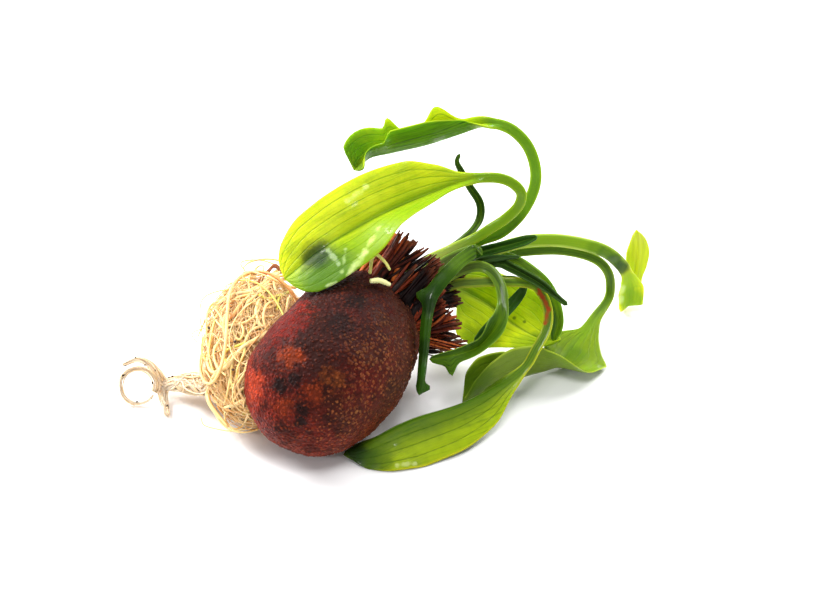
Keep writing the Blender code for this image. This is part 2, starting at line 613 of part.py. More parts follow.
def build_tuber(collection):
    return add_object("tuber", tuber_mesh("tuber", 0.0, True), collection, TUBER_COLOUR, roughness=0.5)


def build_tuber_room(collection):
    """The room that the collar and the roots leave free for the tuber, as a cutter."""
    return add_cutter("tuber_room", tuber_mesh("tuber_room", GAP, False), collection)


def collar_direction(angle, splay):
    """Out of the crown along the collar's axis, leaning away from it by splay degrees."""
    level, top = frame_of(COLLAR_AXIS)
    outward = level * math.cos(angle) + top * math.sin(angle)
    lean = math.radians(splay)
    return COLLAR_AXIS * math.cos(lean) + outward * math.sin(lean)


def build_collar(collection, room):
    """A thick ring round the crown from which the bristles grow, each one drawn out of a face of its rim."""
    rng = random.Random(BRISTLE_SEED)
    level, top = frame_of(COLLAR_AXIS)
    form = bmesh.new()
    loops = []
    for radius, height in COLLAR_PROFILE:
        loop = []
        for i in range(COLLAR_COLUMNS):
            angle = 2 * math.pi * i / COLLAR_COLUMNS
            outward = level * math.cos(angle) + top * math.sin(angle)
            loop.append(form.verts.new((COLLAR_CENTRE + COLLAR_AXIS * height + outward * radius) * MM))
        loops.append(loop)
    rim_faces = []
    for row, (lower, upper) in enumerate(zip(loops, loops[1:] + loops[:1])):
        for i in range(COLLAR_COLUMNS):
            k = (i + 1) % COLLAR_COLUMNS
            face = form.faces.new((lower[i], lower[k], upper[k], upper[i]))
            if row in COLLAR_BRISTLE_ROWS:
                rim_faces.append((face, 2 * math.pi * (i + 0.5) / COLLAR_COLUMNS, row))
    bmesh.ops.recalc_face_normals(form, faces=form.faces)
    for face, angle, row in rim_faces:
        splay, length = COLLAR_BRISTLE_ROWS[row]
        splay += rng.uniform(-BRISTLE_SPLAY_SPREAD, BRISTLE_SPLAY_SPREAD)
        away = collar_direction(angle, splay)
        reach = length * rng.uniform(BRISTLE_SHORTEST, BRISTLE_LONGEST)
        bmesh.ops.inset_individual(form, faces=[face], thickness=BRISTLE_INSET * MM)
        tip = face
        for size in BRISTLE_TAPER:
            tip = bmesh.ops.extrude_discrete_faces(form, faces=[tip])["faces"][0]
            middle = tip.calc_center_median()
            step = away * reach / len(BRISTLE_TAPER) * MM
            for vertex in tip.verts:
                vertex.co = middle + (vertex.co - middle) * size + step
    mesh = mesh_of("fibre_collar", form)
    collar = add_object("fibre_collar", mesh, collection, FIBRE_COLOUR, roughness=0.7)
    add_boolean(collar, room, "DIFFERENCE")


def build_root_mass(collection, room):
    """An egg with ridges along it, cut back where it lies against the tuber and level with the table."""
    form = bmesh.new()
    bmesh.ops.create_uvsphere(form, u_segments=ROOT_SIDES, v_segments=ROOT_RINGS, radius=1.0)
    half = ROOT_MASS_HALF
    for vertex in form.verts:
        x, y, z = vertex.co
        around = math.atan2(y, x)
        ridge = 1 + wave_sum(ROOT_RIDGES, around, z)
        vertex.co = (ROOT_MASS_CENTRE + Vector((x * half.x, z * half.y, y * half.z)) * ridge) * MM
    cut_level(form, ROOT_CLEARANCE * MM)
    mass = add_object("root_mass", mesh_of("root_mass", form), collection, ROOT_COLOUR, roughness=0.6)
    add_boolean(mass, room, "DIFFERENCE")


def root_tube(name, route, radii, count):
    """A tapered root as a curve with a round bevel, made a mesh with its ends closed."""
    places = curve_through(route, count)[0]
    widths = np.interp(np.linspace(0, 1, count), np.linspace(0, 1, len(radii)), radii)
    curve = bpy.data.curves.new(name, "CURVE")
    curve.dimensions = "3D"
    curve.bevel_depth = MM
    curve.bevel_resolution = 1
    curve.use_fill_caps = True
    spline = curve.splines.new("POLY")
    spline.points.add(count - 1)
    for point, place, width in zip(spline.points, places, widths):
        point.co = (*(place * MM), 1.0)
        point.radius = width
    guide = bpy.data.objects.new(name, curve)
    bpy.context.scene.collection.objects.link(guide)
    graph = bpy.context.evaluated_depsgraph_get()
    mesh = bpy.data.meshes.new_from_object(guide.evaluated_get(graph))
    form = bmesh.new()
    form.from_mesh(mesh)
    bmesh.ops.remove_doubles(form, verts=form.verts, dist=1e-6)
    bmesh.ops.recalc_face_normals(form, faces=form.faces)
    form.to_mesh(mesh)
    form.free()
    bpy.data.objects.remove(guide)
    return mesh


def ring_route():
    """The root that curls round to a ring, which leans back towards the roots behind it."""
    angles = np.radians(np.linspace(*RING_ANGLES, RING_POINTS))[:, None]
    ring = RING_CENTRE + RING_RADIUS * (np.cos(angles) * RING_RIGHTWARD + np.sin(angles) * RING_UPWARD)
    return [ROOT_NECK[-1], *ring]


def build_root_tail(collection, cutters):
    """The bundle that runs out of the tangle, with its two branches and its ring grown into one.

    Each branch has a route, its radii along it and its number of stations.
    """
    neck = root_tube("root_tail", ROOT_NECK, ROOT_NECK_RADII, count=8)
    tail = add_object("root_tail", neck, collection, TAIL_COLOUR, roughness=0.55)
    branches = {
        "branch_upper": (ROOT_UPPER, ROOT_UPPER_RADII, 12),
        "branch_lower": (ROOT_LOWER, ROOT_LOWER_RADII, 9),
        "branch_ring": (ring_route(), RING_TUBE_RADII, 22),
    }
    for name, (route, radii, count) in branches.items():
        add_boolean(tail, add_cutter(name, root_tube(name, route, radii, count), cutters), "UNION")


def build_young_roots(collection):
    """A fat root that lies on the shoulder, and a thin one that stands up in a loop."""
    mesh = root_tube("young_root_fat", YOUNG_ROOT_FAT, YOUNG_ROOT_FAT_RADII, count=8)
    add_object("young_root_fat", mesh, collection, YOUNG_ROOT_FAT_COLOUR)
    mesh = root_tube("young_root_loop", YOUNG_ROOT_LOOP, YOUNG_ROOT_LOOP_RADII, count=12)
    add_object("young_root_loop", mesh, collection, YOUNG_ROOT_LOOP_COLOUR)


def set_origin(plant, cutters):
    """Moves the whole plant so that the middle of its footprint on the table is the origin."""
    graph = bpy.context.evaluated_depsgraph_get()
    points = []
    for obj in plant.objects:
        points += [vertex.co.copy() for vertex in obj.evaluated_get(graph).data.vertices]
    low = Vector([min(p[k] for p in points) for k in range(3)])
    high = Vector([max(p[k] for p in points) for k in range(3)])
    for obj in [*plant.objects, *cutters.objects]:
        obj.location = Vector((-(low.x + high.x) / 2, -(low.y + high.y) / 2, -low.z))


def main():
    clear_scene()
    plant = make_collection("aponogeton")
    cutters = make_collection("cutters", hidden=True)
    build_tuber(plant)
    room = build_tuber_room(cutters)
    build_collar(plant, room)
    build_root_mass(plant, room)
    build_root_tail(plant, cutters)
    build_young_roots(plant)
    for name, leaf in LEAVES.items():
        build_leaf(name, leaf, plant)
    set_origin(plant, cutters)


main()
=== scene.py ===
"""The looks of an aponogeton, a water plant that lies loose on a white table.

The plant's shapes are written in millimetres in the grower's frame, whose origin is the point on the table
under the middle of the tuber, with X to the right, Y away from the viewer and Z up. SHIFT takes that frame
to the model's own.
"""

import math
from dataclasses import dataclass, field
from itertools import product

import bpy
import numpy as np
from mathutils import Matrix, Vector


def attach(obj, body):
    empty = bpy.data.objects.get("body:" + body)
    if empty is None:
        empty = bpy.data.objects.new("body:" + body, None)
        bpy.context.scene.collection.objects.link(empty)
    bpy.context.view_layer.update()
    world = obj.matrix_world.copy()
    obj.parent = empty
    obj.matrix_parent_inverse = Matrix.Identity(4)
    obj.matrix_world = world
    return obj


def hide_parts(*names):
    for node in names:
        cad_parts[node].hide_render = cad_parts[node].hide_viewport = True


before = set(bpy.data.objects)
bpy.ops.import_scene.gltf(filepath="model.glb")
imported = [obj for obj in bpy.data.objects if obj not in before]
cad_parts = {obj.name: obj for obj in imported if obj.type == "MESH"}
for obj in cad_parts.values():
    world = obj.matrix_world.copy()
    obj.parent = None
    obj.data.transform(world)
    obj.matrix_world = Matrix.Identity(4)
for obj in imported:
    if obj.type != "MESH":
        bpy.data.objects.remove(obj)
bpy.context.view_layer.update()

MM = 0.001
SHIFT = np.array([-8.640, -9.609, 0.0])
WHOLE_TURN = 2 * np.pi

# All lengths below are in millimetres, except those of the camera's lens and of the lights.

# The camera looks along +Y and down at the angle of the photograph.
CAMERA_AIM = np.array([13.1, 16.6, 12.0])
CAMERA_ELEVATION = 40.0
CAMERA_DISTANCE = 400.0
CAMERA_LENS = 106.3
SENSOR_WIDTH = 36.0

TUBER_CENTRE = np.array([0.3, 1.9, 11.75])
TUBER_AXIS = np.array([0.533, 0.829, 0.168])
TUBER_LENGTH = 33.8
TUBER_RADIUS = 12.0
TUBER_TAPER = 0.06
TUBER_ROWS, TUBER_COLUMNS = 250, 380

# The grains of the skin: their size, how much shorter they are along the axis, and how far they are warped.
GRAIN_SIZE, GRAIN_SQUEEZE, GRAIN_WARP = 0.54, 1.25, 0.25

# The collar of old leaf bases. Its section is given as radius and place along its axis, and the ring lies
# inside it by COLLAR_INSET. Fibres stand on it from its back to its lip.
COLLAR_CENTRE = np.array([11.3, 14.5, 14.8])
COLLAR_AXIS = np.array([0.72, 0.64, 0.2])
COLLAR_PROFILE = ((6.9, -5.0), (7.0, -1.0), (6.5, -0.2), (5.9, 0.5), (5.3, 0.9), (4.9, 0.2), (4.9, -3.0))
COLLAR_COLUMNS = 72
COLLAR_BACK, COLLAR_LIP = -5.4, 1.2
COLLAR_INSET = 0.3
FIBRE_COUNT = 700
CLUMP_COUNT = 95
FIBRE_FLATNESS = 0.34
FIBRE_LOWEST = 0.3

ROOT_MASS_CENTRE = np.array([-13.2, 10.6, 6.6])
ROOT_MASS_HALF = np.array([8.2, 15.6, 7.6])
CORE_SHARE = 0.74
CORE_ROWS, CORE_COLUMNS = 58, 96
CORE_LOWEST = 0.15
TANGLE_COUNT = 380
FUZZ_COUNT = 520
TANGLE_STATIONS, TAIL_STATIONS, YOUNG_STATIONS = 42, 46, 40

# The front roots and the soil lie on the root egg scaled by these shares, and no lower than this height.
FRONT_LIFT, SOIL_LIFT = 1.03, 1.05
FRONT_ROOT_LOWEST = 0.3

# How high a bundle of roots is for its width.
BUNDLE_FLATNESS = 0.6

# How far strands stay above the table.
CLEARANCE = 0.02

SEEDS = {"fibres": 11, "tangle": 4, "tail": 8, "soil": 3}

# The bundle of roots that runs out to the left, its two branches and the ring that one of them makes.
ROOT_NECK = [(-19.6, 5.4, 4.2), (-22.4, 6.0, 3.4), (-24.0, 6.6, 2.8), (-26.3, 6.9, 2.4), (-27.8, 7.0, 2.2)]
ROOT_UPPER = [(-28.8, 8.0, 3.6), (-30.2, 9.2, 4.6), (-32.2, 9.8, 5.1), (-34.6, 9.4, 4.3)]
ROOT_LOWER = [(-27.9, 5.4, 1.2), (-27.4, 3.6, 0.6), (-27.0, 1.4, 0.5)]
RING_CENTRE = np.array([-31.9, 6.0, 2.7])
RING_RADIUS = 2.8
RING_UP = np.array([0.0, 0.64, 0.77])

# The young roots: their piece and node, the points that they pass, their radii and how green they are.
YOUNG_ROOTS = [
    ("young_root_fat_strand", "young_root_fat",
     [(5.9, 7.4, 23.6), (7.4, 8.1, 23.1), (9.1, 8.0, 22.3)], (0.35, 0.45, 0.42, 0.3), 0.0),
    ("young_root_loop_strand", "young_root_loop",
     [(5.8, 10.0, 22.9), (6.2, 11.2, 25.0), (6.9, 11.7, 25.4), (8.2, 11.4, 24.2), (9.0, 10.8, 23.0)],
     (0.25, 0.27, 0.27, 0.22), 0.6),
]

PHOTO_WIDTH, PHOTO_HEIGHT = 832, 600

# The roots that show best on the tangle, by the pixels of the photograph that they pass: the pixels, the
# radius, the tone from brown at 0 to cream at 1, and how green they are.
FRONT_ROOTS = [
    ([(269, 332), (256, 340), (244, 347), (234, 358), (228, 366), (218, 372), (212, 381), (208, 391),
      (209, 402), (216, 413), (223, 421), (228, 427)], 0.46, 0.9, 0),
    ([(265, 326), (256, 328), (249, 334), (245, 342)], 0.3, 1.0, 0),
    ([(245, 342), (244, 354), (238, 368), (236, 381), (230, 389)], 0.28, 0.8, 0.5),
    ([(245, 343), (234, 347), (226, 351), (224, 358), (229, 363), (234, 360)], 0.24, 0.8, 0.8),
    ([(247, 405), (248, 413), (243, 425), (234, 429), (226, 421), (225, 411), (230, 407)], 0.2, 1.0, 0),
    ([(245, 400), (234, 405), (224, 409), (228, 413)], 0.36, 0.9, 0),
    ([(234, 320), (242, 326), (243, 334), (239, 340), (234, 334), (233, 326), (236, 320)], 0.22, 0.9, 0.2),
    ([(215, 310), (217, 307), (225, 299), (238, 294), (255, 291), (268, 283), (279, 273), (288, 268)],
     0.36, 0.7, 0.0),
    ([(229, 289), (212, 293), (202, 300), (200, 315), (202, 334), (202, 351), (202, 363)], 0.11, 0.8, 0.5),
    ([(213, 328), (201, 329), (192, 334), (197, 342), (204, 344)], 0.1, 0.8, 0.3),
    ([(277, 265), (260, 260), (244, 261), (241, 265), (249, 275), (262, 288)], 0.13, 0.8, 0.4),
    ([(256, 270), (238, 287), (226, 290), (214, 300)], 0.12, 0.9, 0.3),
    ([(201, 418), (204, 425), (217, 429), (233, 431), (256, 427)], 0.12, 1.0, 0.2),
    ([(217, 315), (213, 327), (210, 342), (209, 354), (212, 368), (216, 380)], 0.22, 0.9, 0.3),
    ([(296, 288), (277, 284), (265, 287), (255, 296), (246, 304)], 0.3, 0.9, 0),
    ([(294, 284), (284, 276), (271, 280), (261, 292)], 0.26, 0.8, 0),
    ([(292, 280), (280, 280), (262, 292), (240, 297), (226, 306), (220, 318)], 0.3, 0.7, 0),
    ([(259, 300), (256, 312), (259, 323), (264, 327)], 0.34, 1.0, 0),
    ([(288, 292), (279, 298), (277, 310)], 0.26, 0.8, 0.9),
    ([(259, 295), (268, 299), (277, 296), (288, 292)], 0.26, 0.8, 0.9),
    ([(279, 304), (269, 308), (261, 310)], 0.24, 1.0, 0),
    ([(278, 306), (268, 300), (260, 294)], 0.2, 1.0, 0),
    ([(274, 316), (262, 318), (254, 326), (250, 336)], 0.24, 1.0, 0),
    ([(226, 315), (224, 326), (226, 336), (233, 342)], 0.42, 0.4, 0),
    ([(244, 300), (234, 314), (228, 320)], 0.4, 0.3, 0),
    ([(224, 302), (217, 306), (214, 312)], 0.16, 0.0, 0),
    ([(281, 270), (275, 265), (268, 271), (260, 280), (255, 287)], 0.3, 0.0, 0),
    ([(283, 272), (277, 267), (272, 267), (266, 275)], 0.34, 0.0, 0),
    ([(248, 360), (244, 374), (238, 385), (241, 395), (245, 401)], 0.26, 1.0, 0),
    ([(230, 378), (228, 390), (224, 405)], 0.22, 0.9, 0),
    ([(244, 387), (238, 394), (230, 406), (226, 416)], 0.2, 1.0, 0),
    ([(236, 352), (231, 371), (233, 390), (241, 408)], 0.2, 0.8, 0.2),
    ([(220, 340), (214, 352), (217, 366), (226, 376)], 0.26, 0.9, 0.1),
    ([(262, 300), (246, 306), (240, 316)], 0.2, 0.9, 0),
    ([(294, 276), (282, 262), (266, 259), (250, 262), (243, 268)], 0.2, 0.9, 0.1),
    ([(290, 270), (276, 274), (262, 284), (246, 292), (232, 296)], 0.34, 0.85, 0),
    ([(296, 270), (284, 268), (272, 274), (258, 288), (242, 302)], 0.3, 0.9, 0),
    ([(222, 300), (212, 304), (207, 316), (206, 332), (208, 350)], 0.18, 0.9, 0.1),
    ([(206, 352), (202, 366), (206, 380), (214, 392)], 0.2, 0.8, 0),
]

# The pixels at which grains of soil cling to the root tail and to the tangle.
SOIL_PIXELS = [(133, 348), (144, 365), (148, 366), (153, 368), (155, 370), (172, 372), (169, 376), (126, 366),
               (124, 376), (153, 398), (167, 406), (137, 401), (152, 382), (164, 408)]
SOIL_ON_TANGLE = [(215, 384), (209, 328), (216, 352), (235, 342), (233, 370), (230, 409), (213, 395),
                  (231, 328)]

# The direction from the plant to the camera, to which most leaves turn their upper side.
VIEWER = (0.0, -0.77, 0.64)


@dataclass
class Leaf:
    """A leaf from its base to its tip, with the shape of its node in the frame and its own colours.

    route holds points of its middle line. The other tables give values at places along it, where 2.5 is
    half way from the route's point 2 to its point 3. faces says which way the upper side looks. edges gives
    the width of the right and the left half, folds the angle in degrees that each half is folded up from
    flat at the midrib, and curls the angle that it bends on by its margin. One number there is for both
    halves. lobes adds to the width of the right (1) or the left (-1) half round a place: place, side, width
    and how far it spreads before and after. The blade starts at blade_from. ruffle is how high and how many
    the waves of its margins are, and columns is the number of points across it.
    paints are the screen colours of its blade, shade, underside, stalk and margin, as red, green and blue
    from 0 to 255. glow is how much light goes through the leaf, wet the share of it that shines and pale how
    pale its base is. deep darkens the right half, or the left half where it is negative, and deep_from moves
    where that starts. spots are patches of colour and streaks are lines of colour, some of them painted shade
    or painted highlights, and shine is patches of water, each at the pixels of the photo where the leaf shows
    it: pixel or two, size in millimetres, colour and strength.
    """

    node: str
    slot: str
    blade_from: float
    glow: float
    vein_strength: float
    wet: float
    paints: tuple
    route: list
    edges: list
    faces: list = field(default_factory=lambda: [(0.0, VIEWER)])
    folds: list = field(default_factory=lambda: [(0.0, 0.0)])
    curls: list = field(default_factory=lambda: [(0.0, 0.0)])
    lobes: list = field(default_factory=list)
    depth: float = 0.95
    thickness: float = 0.42
    ruffle: tuple = (0.0, 1.0)
    columns: int = 33
    pale: float = 0.1
    deep: float = 0.0
    deep_from: float = -0.05
    spots: list = field(default_factory=list)
    streaks: list = field(default_factory=list)
    shine: list = field(default_factory=list)


LEAVES = {
    "over_tuber_leaf": Leaf(
        "leaf_over_tuber", "leaf_yellow_green", blade_from=9.4, columns=49, glow=0.45, vein_strength=0.5,
        wet=0.3, pale=0.55, deep=-0.8, deep_from=-0.4,
        paints=((192, 198, 26), (100, 138, 12), (176, 186, 22), (112, 146, 12), (160, 176, 34)),
        route=[
            (11.8, 15.6, 18.8), (15.4, 17.6, 19.8), (19.0, 19.3, 20.5), (22.5, 19.8, 22.2),
            (25.0, 20.1, 24.0), (27.5, 20.5, 25.8), (29.5, 20.8, 28.2), (29.8, 21.2, 30.6),
            (27.8, 21.6, 32.5), (24.8, 21.6, 33.2), (20.9, 21.3, 32.7), (13.5, 19.5, 30.6),
            (6.3, 16.7, 28.6), (-1.2, 12.2, 26.5), (-7.6, 8.6, 22.9),
        ],
        edges=[
            (0, 0.85), (9.4, 0.85), (10, (1.5, 1.2)), (10.5, (4.2, 2.6)), (11, (6.4, 4.6)), (12, (7.3, 6.8)),
            (13, (6.8, 7.0)), (13.6, (5.2, 6.0)), (13.85, (3.4, 4.2)), (14, (1.2, 1.4)),
        ],
        faces=[(0, VIEWER), (10, VIEWER), (12, (-0.2, -0.77, 0.6)), (14, (-0.45, -0.7, 0.55))],
        folds=[(9, 0), (10.5, (5, 68)), (11.5, (8, 66)), (12.6, (6, 32)), (14, (0, 16))],
        curls=[(10, 0), (12, (-14, -10)), (14, (-10, 0))],
        spots=[
            ((330, 264), 5.5, (52, 86, 14), 0.8), ((352, 264), 4.5, (90, 124, 18), 0.65),
            ((318, 280), 5.0, (74, 112, 14), 0.8), ((346, 276), 5.0, (76, 112, 16), 0.75),
            ((384, 226), 5.0, (128, 158, 18), 0.55), ((318, 252), 3.4, (22, 46, 14), 0.85),
            ((372, 256), 4.0, (122, 152, 20), 0.55),
        ],
        # The pale streaks are painted highlights on the wet blade.
        streaks=[
            ((325, 248), (338, 262), 0.6, (170, 190, 140), 0.5),
            ((344, 246), (341, 268), 0.5, (180, 200, 130), 0.45),
            ((366, 183), (349, 199), 0.7, (218, 230, 120), 0.5),
            ((378, 225), (364, 250), 0.7, (206, 222, 120), 0.5),
            ((364, 250), (356, 275), 0.9, (198, 214, 140), 0.5),
            ((352, 262), (348, 272), 0.7, (190, 208, 130), 0.4),
            ((324, 284), (334, 280), 0.5, (190, 208, 150), 0.5),
        ],
        shine=[((326, 256), 1.6), ((340, 264), 1.4), ((352, 252), 1.2), ((318, 244), 1.2)],
    ),
    "top_rolled_leaf": Leaf(
        "leaf_top_rolled", "leaf_green", blade_from=9.6, columns=41, depth=1.0, ruffle=(0.3, 3.2), glow=0.4,
        vein_strength=0.75, wet=0.1, pale=0.5,
        paints=((204, 212, 26), (104, 146, 20), (90, 140, 8), (84, 136, 10), (176, 196, 36)),
        route=[
            (10.3, 16.9, 15.9), (15.0, 19.3, 17.0), (19.0, 21.2, 18.0), (23.5, 22.3, 19.9),
            (27.0, 22.7, 21.3), (30.2, 24.2, 24.0), (32.2, 26.5, 27.2), (32.4, 28.9, 29.8),
            (31.0, 31.0, 32.8), (28.1, 32.2, 35.2), (24.6, 32.3, 35.9), (21.0, 32.2, 34.6),
            (15.2, 31.1, 33.0), (9.4, 30.4, 31.8), (5.6, 30.0, 31.0), (3.0, 28.5, 29.4),
        ],
        edges=[
            (0, 0.95), (9.5, 0.95), (10.3, (1.6, 1.8)), (11, (2.3, 3.2)), (12, (3.2, 4.9)),
            (12.9, (3.4, 5.0)), (13.3, (4.5, 3.7)), (14, (5.0, 3.0)), (14.6, (4.0, 2.5)), (15, 0.8),
        ],
        faces=[(0, VIEWER), (8.5, VIEWER), (11, (0.0, -0.1, 1.0)), (15, (0.0, -0.1, 1.0))],
        folds=[(9, 0), (11, (74, 58)), (13, (72, 56)), (13.4, (70, 60)), (14, (66, 62)), (15, (40, 20))],
        curls=[(9.5, 0), (11, (14, 50)), (12, (12, 70)), (12.9, (8, 66)), (13.3, (0, 16)), (15, 0)],
        lobes=[(11.55, 1, 3.5, 0.36, 0.34), (12.93, 1, 3.0, 0.22, 0.18)],
        spots=[
            ((352, 156), 3.0, (66, 112, 14), 0.85), ((362, 144), 4.2, (92, 140, 20), 0.8),
            ((380, 138), 3.6, (112, 156, 22), 0.65), ((356, 166), 2.2, (60, 104, 14), 0.8),
        ],
        shine=[((440, 140), 1.6), ((385, 148), 1.3), ((520, 160), 1.5)],
    ),
    "front_leaf": Leaf(
        "leaf_front", "leaf_green", blade_from=9.0, columns=49, depth=0.9, glow=0.4, vein_strength=0.5,
        wet=0.2, pale=0.15, deep=1.0, deep_from=-0.8,
        paints=((158, 180, 20), (48, 86, 12), (120, 150, 30), (126, 158, 28), (206, 200, 40)),
        route=[
            (14.8, 13.9, 14.2), (19.0, 15.4, 16.1), (22.6, 15.4, 16.7), (27.4, 15.2, 17.0),
            (31.6, 15.0, 16.7), (33.4, 14.2, 15.3), (34.4, 12.4, 13.0), (34.0, 10.0, 11.0), (32.3, 7.4, 9.2),
            (30.8, 5.6, 7.4), (28.2, 3.6, 6.2), (25.5, 2.1, 5.6), (22.8, 0.5, 5.3), (17.7, -2.2, 5.1),
            (12.2, -4.4, 4.6), (7.2, -6.8, 3.6), (4.0, -7.8, 2.2), (1.6, -8.2, 0.9),
        ],
        edges=[
            (0, 0.8), (9, 0.8), (10, (1.4, 1.8)), (11, (2.8, 3.8)), (12, (4.4, 5.6)), (13, (6.0, 7.2)),
            (14, (5.4, 7.6)), (15, (3.4, 6.2)), (16, (1.5, 4.0)), (17, (0.4, 0.6)),
        ],
        faces=[
            (0, VIEWER), (7, (-0.2, -0.6, 0.7)), (9.5, (-0.3, -0.55, 0.8)), (12, (0, -0.57, 0.82)),
            (17, (0, -0.5, 0.86)),
        ],
        folds=[(9, 0), (11, (-60, 0)), (12, (-78, 0)), (15, (-72, 0)), (17, (-30, 0))],
        curls=[(9, 0), (12, (-16, -10)), (17, (-10, -8))],
        spots=[
            ((352, 455), 3.2, (26, 48, 12), 0.95), ((362, 463), 3.4, (36, 62, 14), 0.8),
            ((376, 458), 3.4, (64, 98, 16), 0.6),
        ],
        streaks=[
            ((540, 293), (542, 300), 0.6, (158, 64, 14), 0.95),
            ((542, 300), (544, 309), 0.6, (158, 64, 14), 0.95),
            ((544, 309), (545, 319), 0.55, (158, 64, 14), 0.9),
            # This pale streak is a painted highlight; the three streaks above it are rust on the stalk.
            ((397, 462), (418, 463), 0.5, (214, 226, 150), 0.5),
        ],
        shine=[
            ((410, 462), 1.1), ((402, 466), 0.9), ((420, 464), 1.0), ((492, 418), 0.8), ((372, 466), 0.9),
            ((360, 466), 1.0),
        ],
    ),
    "long_arch_leaf": Leaf(
        "leaf_long_arch", "leaf_green", blade_from=9.0, thickness=0.36, glow=0.45, vein_strength=0.25,
        wet=0.15, pale=0.4,
        paints=((238, 226, 30), (128, 160, 26), (196, 200, 36), (104, 144, 20), (220, 226, 110)),
        route=[
            (12.3, 15.7, 14.6), (15.8, 17.6, 15.5), (19.0, 19.1, 16.4), (22.0, 20.2, 17.4),
            (26.8, 22.0, 18.5), (31.0, 23.5, 18.7), (35.5, 25.0, 17.8), (40.0, 26.1, 16.2),
            (44.0, 26.9, 14.1), (46.5, 27.1, 11.8), (48.2, 27.5, 8.7), (49.0, 27.8, 4.8), (48.9, 27.3, 1.8),
            (49.4, 29.3, 1.6), (50.1, 30.7, 4.9), (50.3, 30.7, 9.2), (50.2, 30.2, 13.0), (49.5, 28.8, 17.0),
        ],
        edges=[
            (0, 0.95), (9, 1.1), (10, (1.0, 1.1)), (10.5, (1.6, 1.8)), (11, (2.3, 2.5)), (12, (1.7, 2.5)),
            (13, (1.4, 1.6)), (14, (1.1, 1.3)), (14.6, 1.8), (15.2, 2.0), (16, 1.5), (16.6, 0.8), (17, 0.15),
        ],
        faces=[
            (0, VIEWER), (9, VIEWER), (11, (0.3, -0.9, 0.2)), (12, (0.2, -0.95, 0.1)),
            (13, (0.1, -0.4, -0.9)), (14, (0, 0.9, -0.4)), (17, (0, 0.9, 0.3)),
        ],
        folds=[(9, 0), (11, 12), (17, 8)],
        spots=[
            ((598, 249), 2.2, (84, 124, 20), 0.5), ((608, 254), 2.2, (64, 104, 18), 0.65),
            ((617, 261), 2.2, (48, 82, 18), 0.8), ((625, 268), 2.0, (40, 72, 18), 0.85),
            ((630, 284), 3.2, (150, 182, 34), 0.75), ((634, 301), 3.6, (126, 164, 34), 0.8),
            ((621, 292), 1.3, (216, 226, 160), 0.6), ((620, 303), 1.2, (216, 226, 160), 0.6),
        ],
        shine=[((617, 259), 1.2), ((607, 251), 1.1), ((612, 255), 1.0)],
    ),
    "folded_leaf": Leaf(
        "leaf_folded", "leaf_green", blade_from=12.0, columns=49, depth=0.9, glow=0.2, vein_strength=0.1,
        wet=0.2, pale=0.2,
        paints=((116, 142, 24), (58, 88, 16), (118, 142, 44), (100, 136, 24), (176, 196, 60)),
        route=[
            (10.7, 17.3, 12.0), (14.8, 19.6, 12.7), (19.0, 21.5, 13.4), (22.0, 22.4, 14.2),
            (25.2, 23.4, 15.0), (28.5, 24.4, 15.4), (32.7, 25.4, 15.2), (37.0, 26.6, 14.3),
            (41.0, 27.3, 12.8), (43.6, 27.3, 11.3), (45.1, 26.9, 9.4), (45.6, 26.4, 7.2), (45.3, 25.6, 4.6),
            (43.2, 23.5, 2.7), (41.5, 20.8, 2.0), (39.9, 18.4, 1.6), (38.5, 16.2, 1.2), (37.2, 14.2, 0.8),
            (34.8, 12.6, 0.6), (31.4, 11.3, 0.5), (28.1, 9.5, 0.5), (24.9, 7.5, 0.5), (20.6, 4.4, 0.6),
        ],
        edges=[
            (0, 0.78), (12, 0.8), (13, (0.9, 1.2)), (14, (1.1, 2.4)), (15, (3.4, 4.6)), (16, (4.6, 6.9)),
            (17, (4.2, 6.9)), (18, (3.4, 6.6)), (19, (3.6, 6.9)), (20, (5.3, 7.8)), (21, (5.8, 6.8)),
            (21.6, (4.4, 4.2)), (22, 0.5),
        ],
        faces=[
            (0, VIEWER), (10, VIEWER), (13, (-0.4, -0.5, 0.75)), (15, (-0.1, -0.3, 0.95)), (17, (0, 0, 1)),
            (22, (0, 0, 1)),
        ],
        folds=[
            (12, 0), (14, (4, 0)), (16, (12, -6)), (17, (30, 6)), (18, 50), (19, (60, 72)), (22, (58, 70)),
        ],
        curls=[(15, 0), (16, (0, 10)), (18, (0, 26)), (22, (8, 26))],
        spots=[
            # The darker patches at (575, 352) and (474, 385) are painted shade inside the fold.
            ((590, 366), 2.6, (128, 160, 34), 0.6), ((575, 352), 2.5, (84, 118, 22), 0.7),
            ((474, 385), 5.0, (74, 108, 16), 0.7),
        ],
        shine=[((591, 361), 2.4), ((584, 372), 1.4)],
    ),
    "broad_back_leaf": Leaf(
        "leaf_broad_back", "leaf_yellow_green", blade_from=2.0, columns=49, depth=0.9, glow=0.5,
        vein_strength=0.35, wet=0.15, pale=0.3, deep=-0.5,
        paints=((202, 210, 8), (126, 154, 10), (160, 180, 14), (112, 140, 20), (196, 208, 40)),
        route=[
            (12.4, 16.3, 12.0), (15.8, 18.2, 12.0), (18.6, 19.9, 11.6), (20.4, 20.9, 10.6),
            (22.9, 20.8, 9.2), (25.6, 20.4, 7.4), (28.3, 18.9, 5.8), (30.1, 17.8, 5.0), (32.5, 16.5, 4.3),
            (35.0, 15.6, 4.1), (37.0, 15.6, 4.6),
        ],
        edges=[
            (0, 0.8), (2, 0.9), (2.4, (1.4, 1.2)), (3, (4.3, 3.5)), (4, (7.8, 5.0)), (5, (8.2, 5.8)),
            (6, 6.6), (7, (4.6, 6.8)), (8, (2.6, 5.4)), (9, (1.3, 3.2)), (10, (0.4, 0.6)),
        ],
        faces=[(0, VIEWER), (3, (0, -0.62, 0.78)), (7, (0, -0.55, 0.83)), (10, (0.1, -0.1, 1))],
        folds=[(2, 0), (5, (14, 8)), (10, (10, 4))],
        spots=[
